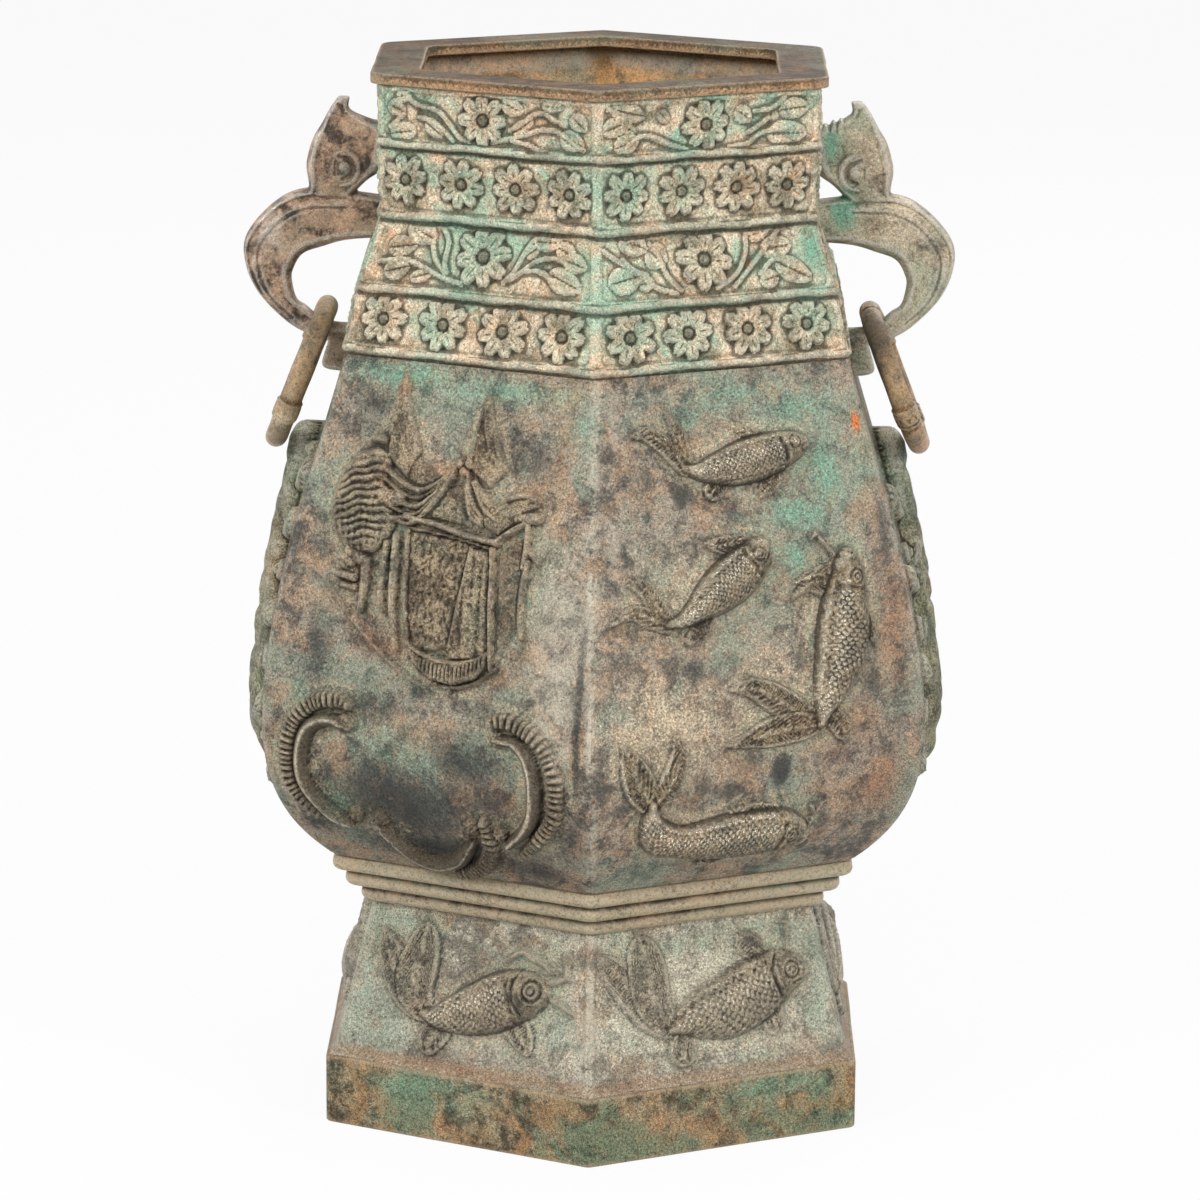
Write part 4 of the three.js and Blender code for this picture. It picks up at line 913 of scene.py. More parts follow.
def storeLayer(piece, name, red, green, blue):
    count = len(piece.data.vertices)
    layer = piece.data.attributes.get(name) or piece.data.attributes.new(name, "FLOAT_COLOR", "POINT")
    colours = np.ones((count, 4))
    for channel, values in enumerate((red, green, blue)):
        flat = np.ravel(values)
        colours[:len(flat), channel] = flat
    layer.data.foreach_set("color", colours.ravel())


# Strength of each painted spot [across, height, reach across, reach up, strength]
def spotLayer(spots, u, z):
    layer = np.zeros_like(u)
    for across, height, reachAcross, reachUp, strength in spots:
        away = ((u - across) / reachAcross) ** 2 + ((z - height) / reachUp) ** 2
        layer = np.maximum(layer, strength * np.exp(-away * 1.2))
    return layer


def finishPiece(piece, node, material, body="vessel"):
    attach(piece, body)
    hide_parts(node)
    piece.data.materials.clear()
    piece.data.materials.append(material)


# One carved plate of the wall: a face of the hexagon between two heights
def skin(name, faceName, surface, spec, node, material):
    face = faces[faceName]
    low, high = spec["heights"]
    heights = np.linspace(low, high, 500)
    widths = surface.halfWidth(heights)
    arc = np.concatenate([[0], np.cumsum(np.hypot(np.diff(heights), np.diff(widths)))])
    step = spec["step"] * sheet
    columns, rows = int(face["length"] * widths.max() / step), int(arc[-1] / step)
    layers = {}

    def place(across, along):
        height = np.interp(along, arc / arc[-1], heights)
        half = face["length"] * surface.halfWidth(height) / 2
        u = (2 * across - 1) * half
        relief = Relief(u, height)
        spec["carve"](relief, half)
        base = facePoints(face, surface, u, height, 0)
        lift = relief.lift + wobble(base, spec["uneven"], 46) - spec["uneven"]
        layers["fine"] = np.clip((relief.lift - blurGrid(relief.lift, 1.3 / step)) / 0.5, -1, 1) * 0.5 + 0.5
        layers["wide"] = np.clip((relief.lift - blurGrid(relief.lift, 5.0 / step)) / 2.4, -1, 1) * 0.5 + 0.5
        layers["raised"] = np.clip(relief.lift / 2.6, 0, 1)
        edge = np.full_like(u, 99.0)
        for side, mitre in zip((-1, 1), face["mitres"]):
            reach = spec["corner"] * math.tan(mitre)
            distance = half - side * u
            share = np.clip(distance / reach, 0, 1)
            turn = mitre * (1 - share)
            inset = np.where(share < 1, reach - spec["corner"] * np.sin(turn) - distance, 0)
            drop = spec["corner"] * (1 - np.cos(turn))
            fade = 1 - easeIn(distance / 3.5)
            u = u - side * inset + side * lift * math.tan(mitre) * fade
            lift = lift - drop
            edge = np.minimum(edge, distance + (0 if abs(mitre - 0.48) < 0.02 else 1.5))
        layers["scales"] = relief.scales[0], relief.scales[1] + 20, relief.scales[2]
        # Nearness to the plate's corners, where the metal is worn and a painted highlight runs along the ridges
        layers["edge"] = np.exp(-(edge / 2.8) ** 2)
        # dark is the painted shade and light the painted highlights of the carving
        layers["dark"], layers["light"] = relief.dark, relief.light
        layers["u"], layers["z"] = u, height
        return facePoints(face, surface, u, height, lift)

    piece = shapeGrid(name, columns, rows, place)
    storeLayer(piece, "form", layers["fine"], layers["wide"], layers["raised"])
    storeLayer(piece, "scales", *layers["scales"])
    spots = spec["spots"]
    painted = {key: spotLayer(spots.get(key, []), layers["u"], layers["z"])
               for key in ("verdigris", "sootAndShade", "ochre", "pale", "paintedSheen")}
    # The soot channel also carries the relief's painted shade, and the bright channel its painted highlights
    storeLayer(piece, "patinaAndShade", painted["verdigris"], np.maximum(painted["sootAndShade"], layers["dark"]),
               painted["ochre"])
    storeLayer(piece, "paleWearSheen", painted["pale"], np.maximum(painted["paintedSheen"], layers["light"]), layers["edge"])
    smoothShade(piece, 75)
    closeBack(piece, -3 * np.array([face["outward"][0], face["outward"][1], 0]), columns)
    finishPiece(piece, node, material)


# The six faces of one section, from (carving, spots, look) by face; the front ones have the finer grid
def carveSection(label, surface, spec, designs):
    for faceName, (carve, spots, look) in designs.items():
        step = spec["steps"][0 if faceName.startswith("front") else 1]
        details = {**spec, "carve": carve, "spots": spots, "step": step}
        skin(label + "_" + faceName, faceName, surface, details, label + "_section", bronze[look])
    print(label + " carved")


# Points round the hexagon at a half width, with the roundings of its ridges and its side corners
def hexagonLine(width, corners, perFace, perCorner):
    points = []
    for number in range(6):
        before, after = faces[faceNames[number - 1]], faces[faceNames[number]]
        tip = np.array(unitCorners[number], float) * width
        corner = corners[0] if number % 3 == 0 else corners[1]
        half = math.acos(np.clip(np.dot(before["outward"], after["outward"]), -1, 1)) / 2
        bisector = before["outward"] + after["outward"]
        bisector = bisector / np.linalg.norm(bisector)
        centre = tip - bisector * corner / math.cos(half)
        middle = math.atan2(bisector[1], bisector[0])
        turns = middle + np.linspace(-half, half, perCorner + 1)
        points.append(centre + corner * np.stack([np.cos(turns), np.sin(turns)], axis=1))
    line = []
    for number in range(6):
        line.extend(points[number])
        start, end = points[number][-1], points[(number + 1) % 6][0]
        line.extend(start + (end - start) * share for share in np.linspace(0, 1, perFace + 1)[1:-1])
    line.append(points[0][0])
    return np.array(line)


# A closed outline of [half width, height] whose corners are softened and sides divided
def softOutline(corners, softness, spacing):
    points = np.array(corners, float)
    softness = softness if isinstance(softness, (list, tuple)) else [softness] * len(points)
    line = []
    for number, point in enumerate(points):
        before, after = points[number - 1], points[(number + 1) % len(points)]
        back, ahead = before - point, after - point
        reach = softness[number]
        start = point + back / np.linalg.norm(back) * min(reach, np.linalg.norm(back) * 0.45)
        end = point + ahead / np.linalg.norm(ahead) * min(reach, np.linalg.norm(ahead) * 0.45)
        for t in np.linspace(0, 1, 5):
            line.append(start * (1 - t) ** 2 + 2 * point * t * (1 - t) + end * t * t)
    line.append(line[0])
    divided = []
    for start, end in zip(line[:-1], line[1:]):
        parts = max(1, int(np.linalg.norm(end - start) / spacing))
        divided.extend(start + (end - start) * share for share in np.linspace(0, 1, parts, endpoint=False))
    return np.array(divided + [divided[0]])


# A closed band round the vase from an outline of [half width, height]
def hexRing(name, outline, spec):
    ring = []
    for width, height in outline:
        line = hexagonLine(width, spec["corner"], spec["perFace"], spec["perCorner"])
        ring.append(np.column_stack([line, np.full(len(line), height)]))
    ring = np.array(ring)
    if spec.get("uneven"):
        flat = ring * [1, 1, 0.5]
        squeeze = (wobble(flat, 0.5, spec.get("wave", 30)) - 0.5) * spec["uneven"]
        reach = np.linalg.norm(ring[..., :2], axis=-1, keepdims=True)
        ring[..., :2] *= 1 + squeeze[..., None] / reach
    rows, columns = ring.shape[0] - 1, ring.shape[1] - 1
    piece = shapeGrid(name, columns, rows, lambda across, along: ring)
    weld(piece)
    return piece


# Crests and hollows of a finished mesh, from each point's place among its neighbours
def storeForm(piece, depth=0.25, rounds=10):
    mesh = piece.data
    points = readPoints(piece)
    edges = np.empty(len(mesh.edges) * 2, int)
    mesh.edges.foreach_get("vertices", edges)
    edges = edges.reshape(-1, 2)
    normals = np.empty(len(points) * 3)
    mesh.vertices.foreach_get("normal", normals)
    normals = normals.reshape(-1, 3)
    count = np.bincount(edges.ravel(), minlength=len(points))[:, None]
    soft = points.copy()
    for _ in range(rounds):
        total = np.column_stack([
            np.bincount(edges[:, 0], soft[edges[:, 1], axis], len(points))
            + np.bincount(edges[:, 1], soft[edges[:, 0], axis], len(points)) for axis in range(3)
        ])
        soft = 0.4 * soft + 0.6 * total / np.maximum(count, 1)
    rise = np.sum((points - soft) * normals, axis=1)
    fine = np.clip(rise / depth, -1, 1) * 0.5 + 0.5
    storeLayer(piece, "form", fine, np.full(len(points), 0.5), np.zeros(len(points)))
    return points


def storeSpots(piece, points, spots):
    def layer(key):
        values = np.zeros(len(points))
        for centre, reach, strength in spots.get(key, []):
            away = np.sum(((points - centre) / reach) ** 2, axis=1)
            values = np.maximum(values, strength * np.exp(-away * 1.2))
        return values

    storeLayer(piece, "patinaAndShade", layer("verdigris"), layer("sootAndShade"), layer("ochre"))
    storeLayer(piece, "paleWearSheen", layer("pale"), layer("paintedSheen"), np.zeros(len(points)))


# Materials

class Wire:
    def __init__(self, painter, socket):
        self.painter, self.socket = painter, socket

    def __add__(self, other):
        return self.painter.maths("ADD", self, other)

    def __sub__(self, other):
        return self.painter.maths("SUBTRACT", self, other)

    def __mul__(self, other):
        return self.painter.maths("MULTIPLY", self, other)

    def __rsub__(self, other):
        return self.painter.maths("SUBTRACT", other, self)

    def __pow__(self, other):
        return self.painter.maths("POWER", self, other)

    __radd__ = __add__
    __rmul__ = __mul__


class Painter:
    def __init__(self, name):
        self.material = bpy.data.materials.new(name)
        self.material.use_nodes = True
        self.tree = self.material.node_tree
        self.tree.nodes.clear()
        place = self.add("ShaderNodeTexCoord", output="Object")
        self.place = self.add("ShaderNodeVectorMath", {"operation": "SCALE"}, {0: place, "Scale": 1000.0})

    def add(self, kind, settings=None, inputs=None, output=0):
        node = self.tree.nodes.new(kind)
        for key, value in (settings or {}).items():
            setattr(node, key, value)
        for key, value in (inputs or {}).items():
            if isinstance(value, Wire):
                self.tree.links.new(value.socket, node.inputs[key])
            else:
                node.inputs[key].default_value = value
        return Wire(self, node.outputs[output]) if node.outputs else None

    def maths(self, operation, *values):
        return self.add("ShaderNodeMath", {"operation": operation}, dict(enumerate(values)))

    def mix(self, factor, first, second, blend="MIX"):
        settings = {"data_type": "RGBA", "blend_type": blend, "clamp_factor": True}
        return self.add("ShaderNodeMix", settings, {0: factor, 6: first, 7: second}, 2)

    def step(self, value, low, high):
        return self.add("ShaderNodeMapRange", {"interpolation_type": "SMOOTHSTEP"},
                        {0: value, 1: low, 2: high})

    def noise(self, size, detail=4.0, rough=0.6, warp=0.0, shift=(0, 0, 0)):
        place = self.add("ShaderNodeVectorMath", {"operation": "ADD"}, {0: self.place, 1: shift})
        inputs = {"Vector": place, "Scale": 1.0 / size, "Detail": detail, "Roughness": rough,
                  "Distortion": warp}
        return self.add("ShaderNodeTexNoise", {"noise_dimensions": "3D"}, inputs)

    def layers(self, name):
        colour = self.add("ShaderNodeAttribute", {"attribute_name": name}, {}, "Color")
        return [self.add("ShaderNodeSeparateColor", {}, {0: colour}, channel) for channel in range(3)]

    def finish(self, colour, roughness, metallic, height, depth, specular):
        bump = self.add("ShaderNodeBump", {}, {"Strength": 1.0, "Distance": depth, "Height": height})
        inputs = {"Base Color": colour, "Roughness": roughness, "Metallic": metallic, "Normal": bump,
                  "Specular IOR Level": specular}
        surface = self.add("ShaderNodeBsdfPrincipled", {}, inputs)
        self.add("ShaderNodeOutputMaterial", {}, {"Surface": surface})
        return self.material


# A colour as seen on screen, 0 to 255
def tone(red, green, blue):
    return tuple(((value / 255 + 0.055) / 1.055) ** 2.4 for value in (red, green, blue)) + (1.0,)


# Height of the fish scales, 0 in the seams to 1 on the free edges, as in scaleRows
def scaleHeight(paint, row, column):
    whole = paint.maths("FLOOR", row)
    part = row - whole
    parity = paint.maths("MODULO", whole, 2.0)

    def scale(stagger, behind):
        aside = column - stagger * 0.5
        aside = aside - paint.maths("ROUND", aside)
        distance = paint.maths("SQRT", aside * aside + behind * behind)
        slope = paint.step(behind, -0.5, 0.35)
        return distance, (0.2 + 0.8 * slope) * (1.0 - paint.maths("MINIMUM", distance * 1.75, 1.0) ** 6.0)

    distance, front = scale(parity, part * 0.5)
    _, back = scale(1.0 - parity, (part - 1.0) * 0.5)
    covers = paint.maths("LESS_THAN", distance, 0.54)
    return back + (front - back) * covers


# Aged bronze: metal, a speckled skin over it, deposits in the hollows, wear on the crests, painted spots,
# painted shade in the creases and painted highlights on the metal
def agedBronze(name, look):
    paint = Painter(name)
    fine, wide, raised = paint.layers("form")
    verdigris, sootAndShade, ochre = paint.layers("patinaAndShade")
    pale, paintedSheen, edge = paint.layers("paleWearSheen")
    row, column, scaled = paint.layers("scales")
    scales = scaleHeight(paint, row, column)
    shift = look["shift"]
    broad = paint.noise(38, 3, 0.55, 0.5, shift)
    middle = paint.noise(10, 5, 0.62, 0.5, shift)
    blotch = paint.noise(15, 6, 0.68, 0.7, (31, 7, 12))
    first = paint.noise(1.7, 4, 0.8, 0.3, (3, 9, 27))
    second = paint.noise(1.2, 4, 0.8, 0.3, (44, 5, 12))
    third = paint.noise(2.9, 5, 0.78, 0.5, (-12, 44, 5))
    grain = paint.noise(0.6, 3, 0.75, 1.4, (7, 7, 7))
    crest = paint.step(fine, 0.58, 0.9)
    hollow = 1.0 - paint.step(fine, 0.14, 0.46)
    foot = paint.step(1.0 - wide, 0.54, 0.74) * (1.0 - raised)

    outsideSheen = 1.0 - paint.step(paintedSheen, 0.2, 0.8) * 0.75  # no green where the metal is bare under the painted sheen
    cover = paint.step(middle + (third - 0.5) * 0.9 + (broad - 0.5) * 0.7, 0.32, 0.6)
    colour = paint.mix(cover, look["dark"], look["base"])
    for key, speck, low, high, share in (
        ("tan", first * 0.7 + (blotch - 0.5) * 1.5, 0.3, 0.56, 1.0),
        ("mint", second * 0.7 - (blotch - 0.5) * 0.9 + (broad - 0.5) * 1.3, 0.34, 0.58, outsideSheen),
        ("broad", broad + (first - 0.5) * 0.6, 0.46, 0.66, outsideSheen),
        ("black", third - (middle - 0.5) * 0.7, 0.54, 0.7, 1.0),
    ):
        colour = paint.mix(paint.step(speck, low, high) * look[key + "Share"] * share, colour, look[key])

    # Raised figures keep their bronze; deposits lie round them
    cover = paint.step(middle + (second - 0.5) * 0.9, 0.36, 0.64)
    figure = paint.mix(cover, look["figureDark"], look["figure"])
    cover = raised * look["figureShare"] * paint.step(second + raised * 0.2, 0.42, 0.6)
    colour = paint.mix(cover, colour, figure)
    cover = paint.step(third + (blotch - 0.5) * 0.6, 0.42, 0.62)
    deposit = paint.mix(cover, look["deposit"], look["depositTwo"])
    cover = foot * look["footShare"] * paint.step(first + (middle - 0.5) * 0.5, 0.38, 0.58)
    colour = paint.mix(cover, colour, deposit)

    # Painted spots: a soft tint and specks of it. The soot spots also carry the painted shade of the relief,
    # which turns to the figure's dark bronze where it is raised
    bare = 1.0 - raised * look["figureShare"] * 0.75
    for strength, speck, shade, share in (
        (ochre, first, look["ochre"], 0.7), (sootAndShade, third, look["sootAndShade"], 0.8),
        (pale * bare, second, look["paleTone"], 0.7), (verdigris * bare, second, look["verdigris"], 0.75),
    ):
        if strength is ochre:
            shade = paint.mix(paint.step(strength, 1.2, 1.5), shade, look["rust"])
        if strength is sootAndShade:
            shade = paint.mix(raised, shade, look["figureDark"])
        cover = paint.step(speck * 0.85 + middle * 0.4 + strength * 0.4, 0.78, 1.0)
        colour = paint.mix(cover * share * 0.75 + strength * share * 0.35, colour, shade)

    # Painted shade: dark lines in the hollows and between the scales, where shade falls
    inner = look["creaseShadeOutside"] + (1.0 - look["creaseShadeOutside"]) * paint.step(raised, 0.2, 0.55)
    creaseShade = paint.maths("MAXIMUM", hollow * look["creaseShadeShare"] * inner,
                       (1.0 - paint.step(scales, 0.12, 0.55)) * scaled * 0.9)
    colour = paint.mix(creaseShade, colour, look["creaseShade"])

    # Grain, and bright metal: worn and partly a painted highlight on the crests, painted sheen and highlights
    # along the ridges, and painted glints on the scales
    shade = 1.0 + (grain - 0.5) * look["grainShare"] * 3.0 + (second - 0.5) * look["grainShare"] * 1.4
    shade = paint.maths("MAXIMUM", shade, 0.25)
    grey = paint.add("ShaderNodeCombineColor", {}, {0: shade, 1: shade, 2: shade})
    colour = paint.mix(1.0, colour, grey, "MULTIPLY")
    ragged = (middle - 0.5) * 0.8 + (first - 0.5) * 0.8
    rubAndHighlight = crest * look["crestShare"] * (1.0 - sootAndShade * 0.85)
    rubAndHighlight = rubAndHighlight + paint.step(paintedSheen + ragged, 0.25, 0.9) * look["paintedSheenShare"] * (1.0 - scaled * 0.85)
    rubAndHighlight = rubAndHighlight + edge * look["edgeShare"] * paint.step(third + middle, 0.82, 1.1)
    # Painted glints on the free edges of the scales, stronger under the painted highlight
    rubAndHighlight = rubAndHighlight + paint.step(scales, 0.55, 0.9) * scaled * (paintedSheen * 1.2 + 0.35)
    rubAndHighlight = paint.maths("MINIMUM", rubAndHighlight, 1.0) * paint.step(grain + first, 0.74, 1.1)
    colour = paint.mix(rubAndHighlight * 0.9, colour, look["rubAndSheen"])
    figured = raised * look["figureShare"]
    metallic = paint.maths("MINIMUM", rubAndHighlight * 0.4 + figured * 0.3 + look["metal"], 1.0)
    roughness = look["rough"] - rubAndHighlight * 0.2 - figured * 0.16 + (grain - 0.5) * 0.4
    height = grain * 1.1 + first * 0.8 + middle * 0.8 + scales * scaled * look["scaleDepth"]
    return paint.finish(colour, roughness, metallic, height, look["depth"], look["specular"])


tones = {
    "dark": tone(80, 76, 69), "base": tone(156, 145, 128), "tan": tone(188, 154, 122), "tanShare": 0.6,
    "black": tone(44, 43, 41), "blackShare": 0.6, "mint": tone(134, 162, 142), "mintShare": 0.5,
    "broad": tone(124, 134, 114), "broadShare": 0.35, "figureDark": tone(80, 70, 54),
    "figure": tone(162, 147, 118), "figureShare": 0.45, "deposit": tone(206, 180, 148),
    "depositTwo": tone(146, 174, 150), "footShare": 0.65, "creaseShade": tone(36, 31, 24), "creaseShadeShare": 0.8,
    "creaseShadeOutside": 0.25, "ochre": tone(186, 134, 96), "sootAndShade": tone(48, 50, 50), "paleTone": tone(214, 196, 166),
    "verdigris": tone(114, 164, 140), "grainShare": 2.1, "crestShare": 0.6, "rubAndSheen": tone(212, 206, 194),
    "paintedSheenShare": 0.6, "edgeShare": 0.62, "rust": tone(226, 112, 44), "rough": 0.6, "shift": (0, 0, 0),
    "metal": 0.1, "depth": 0.00065, "scaleDepth": 0.9, "specular": 0.18,
}
fishTones = {
    "figureDark": tone(52, 43, 31), "figure": tone(136, 118, 89), "figureShare": 0.95, "specular": 0.45,
    "rough": 0.52, "rubAndSheen": tone(216, 206, 184), "mintShare": 0.36, "broadShare": 0.22,
}
bronze = {
    "pavilion": agedBronze("bronze_pavilion", {
        **tones, "figureDark": tone(72, 62, 48), "figure": tone(160, 143, 115), "figureShare": 0.8,
        "mintShare": 0.36, "crestShare": 0.28, "broadShare": 0.25, "rubAndSheen": tone(214, 206, 188),
        "specular": 0.3, "rough": 0.56,
    }),
    "fish": agedBronze("bronze_fish", {**tones, **fishTones}),
    "rock": agedBronze("bronze_rock", {
        **tones, "figureDark": tone(82, 84, 64), "figure": tone(146, 146, 116), "figureShare": 0.7,
        "creaseShadeShare": 0.9,
    }),
    "neck": agedBronze("bronze_neck", {
        **tones, "dark": tone(154, 143, 118), "base": tone(238, 221, 193), "tan": tone(246, 198, 158),
        "tanShare": 0.75, "mint": tone(158, 204, 178), "mintShare": 0.85, "blackShare": 0.45,
        "black": tone(88, 82, 62), "figureDark": tone(92, 92, 70), "figure": tone(196, 192, 165),
        "figureShare": 0.75, "deposit": tone(226, 196, 162), "creaseShade": tone(48, 43, 31), "creaseShadeShare": 0.85,
        "creaseShadeOutside": 0.85, "broad": tone(150, 184, 160), "broadShare": 0.55, "shift": (5, 3, 8),
        "edgeShare": 0.2, "crestShare": 0.45, "rough": 0.66, "metal": 0.04, "sootAndShade": tone(66, 76, 62),
        "verdigris": tone(112, 164, 140), "grainShare": 1.7,
    }),
    "foot": agedBronze("bronze_foot", {
        **tones, **fishTones, "base": tone(198, 190, 171), "dark": tone(122, 116, 102), "shift": (40, 3, 8),
        "broad": tone(144, 156, 134), "broadShare": 0.4, "blackShare": 0.4, "tanShare": 0.45,
        "figureShare": 0.85, "ochre": tone(150, 116, 86), "figureDark": tone(58, 48, 36),
        "figure": tone(134, 116, 88), "paleTone": tone(206, 200, 178),
    }),
    "plinth": agedBronze("bronze_plinth", {
        **tones, "base": tone(162, 147, 118), "dark": tone(76, 70, 55), "tan": tone(190, 147, 100),
        "crestShare": 0.6, "rubAndSheen": tone(200, 172, 142), "shift": (14, 13, 18), "mint": tone(118, 154, 128),
        "mintShare": 0.6, "broad": tone(96, 104, 78), "broadShare": 0.5, "tanShare": 0.6,
    }),
    "rolls": agedBronze("bronze_rolls", {
        **tones, "base": tone(166, 150, 123), "dark": tone(82, 72, 57), "tan": tone(192, 150, 112),
        "shift": (14, 13, 18), "mint": tone(122, 140, 118), "broad": tone(104, 110, 88), "crestShare": 1.0,
        "creaseShadeOutside": 1.0, "creaseShadeShare": 0.95, "grainShare": 0.85, "rubAndSheen": tone(210, 194, 164),
        "blackShare": 0.25, "specular": 0.35, "rough": 0.5,
    }),
    "plain": agedBronze("bronze_plain", {
        **tones, "base": tone(184, 153, 127), "dark": tone(66, 52, 41), "tan": tone(220, 180, 146),
        "mintShare": 0.12, "grainShare": 1.3, "blackShare": 0.5, "tanShare": 0.5, "shift": (3, 23, 8),
        "broadShare": 0.1, "crestShare": 0.8, "metal": 0.2, "rough": 0.4, "creaseShadeOutside": 1.0, "specular": 0.45,
        "creaseShadeShare": 0.5,
    }),
    "lip": agedBronze("bronze_lip", {
        **tones, "base": tone(86, 68, 46), "dark": tone(58, 46, 32), "tan": tone(130, 94, 64),
        "mintShare": 0.2, "shift": (3, 23, 8), "broadShare": 0.1, "crestShare": 0.6,
        "paleTone": tone(202, 166, 128), "creaseShadeOutside": 1.0, "grainShare": 1.2, "rubAndSheen": tone(190, 168, 138),
    }),
    "paleHandle": agedBronze("bronze_pale_handle", {
        **tones, "base": tone(192, 178, 154), "dark": tone(104, 94, 76), "tan": tone(214, 190, 160),
        "mintShare": 0.3, "blackShare": 0.5, "tanShare": 0.5, "shift": (3, 23, 8), "crestShare": 0.8,
        "metal": 0.12, "rough": 0.5, "broad": tone(148, 158, 130), "creaseShadeOutside": 1.0, "specular": 0.25,
        "creaseShadeShare": 0.45, "grainShare": 1.5,
    }),
    "ring": agedBronze("bronze_ring", {
        **tones, "base": tone(146, 110, 72), "dark": tone(62, 47, 34), "tan": tone(198, 154, 100),
        "mintShare": 0.0, "blackShare": 0.4, "tanShare": 0.6, "shift": (13, 3, 8), "broadShare": 0.1,
        "metal": 0.3, "rough": 0.42, "grainShare": 1.6, "rubAndSheen": tone(218, 200, 166), "crestShare": 0.6,
        "creaseShadeOutside": 1.0, "specular": 0.4,
    }),
    "inside": agedBronze("bronze_inside", {
        **tones, "base": tone(224, 180, 130), "dark": tone(150, 122, 86), "tan": tone(240, 184, 122),
        "tanShare": 0.9, "mintShare": 0.4, "shift": (3, 3, 38), "rough": 0.8, "metal": 0.0, "grainShare": 1.2,
    }),
}


# The plate that closes the belly from below is the CAD's own mesh, with none of the painted layers
def floorBronze():
    paint = Painter("bronze_floor")
    cloud, grain = paint.noise(12, 5, 0.7, 0.5), paint.noise(1.4, 4, 0.8, 0.3, (3, 9, 27))
    colour = paint.mix(paint.step(cloud + (grain - 0.5) * 0.6, 0.4, 0.6), tone(104, 82, 56),
                       tone(172, 134, 92))
    return paint.finish(colour, 0.8 + (grain - 0.5) * 0.3, 0.0, grain + cloud, 0.0005, 0.14)


for slot in bpy.data.objects["floor_plate"].material_slots:
    slot.material = floorBronze()
print("materials made")


# Belly

def framed(across, height, half, low, high, rounding):
    aside = np.abs(across) - (half - rounding)
    above = np.abs(height - (low + high) / 2) - ((high - low) / 2 - rounding)
    outside = np.hypot(np.maximum(aside, 0), np.maximum(above, 0))
    return outside + np.minimum(np.maximum(aside, above), 0) - rounding


def carveBellyRight(relief, half):
    for fish in bellyFish:
        carveFish(relief, fish)


def carveBellyLeft(relief, half):
    carvePavilion(relief)
    carveScrolls(relief)


# A ring as it hangs at rest, and the rock on a side face that reaches out to the lowest point of its middle
loop = {
    "radius": 30.4, "tube": 4.8, "lean": 21.4, "pivot": (117.5, 350.1), "collars": [113, -65, -138],
    "collarHalf": 4.7, "collarRise": 0.7, "gap": 0.4,
}
lean = math.radians(loop["lean"])
perch = {
    "reach": loop["pivot"][0] + 2 * loop["radius"] * math.sin(lean),
    "height": loop["pivot"][1] - 2 * loop["radius"] * math.cos(lean),
    "gap": loop["tube"] + loop["gap"],
}
perchHeight = perch["height"]
for _ in range(20):
    reach = perch["reach"] - bellySurface.halfWidth(perchHeight)
    lean = -bellySurface.slope(perchHeight)
    perchHeight = perch["height"] - reach * lean / (1 + lean * lean)
reach = perch["reach"] - bellySurface.halfWidth(perchHeight)
perchLift = math.hypot(reach, perch["height"] - perchHeight) - perch["gap"]


def carveBellySide(relief, half):
    carveRockery(relief, {"height": perchHeight, "lift": perchLift})


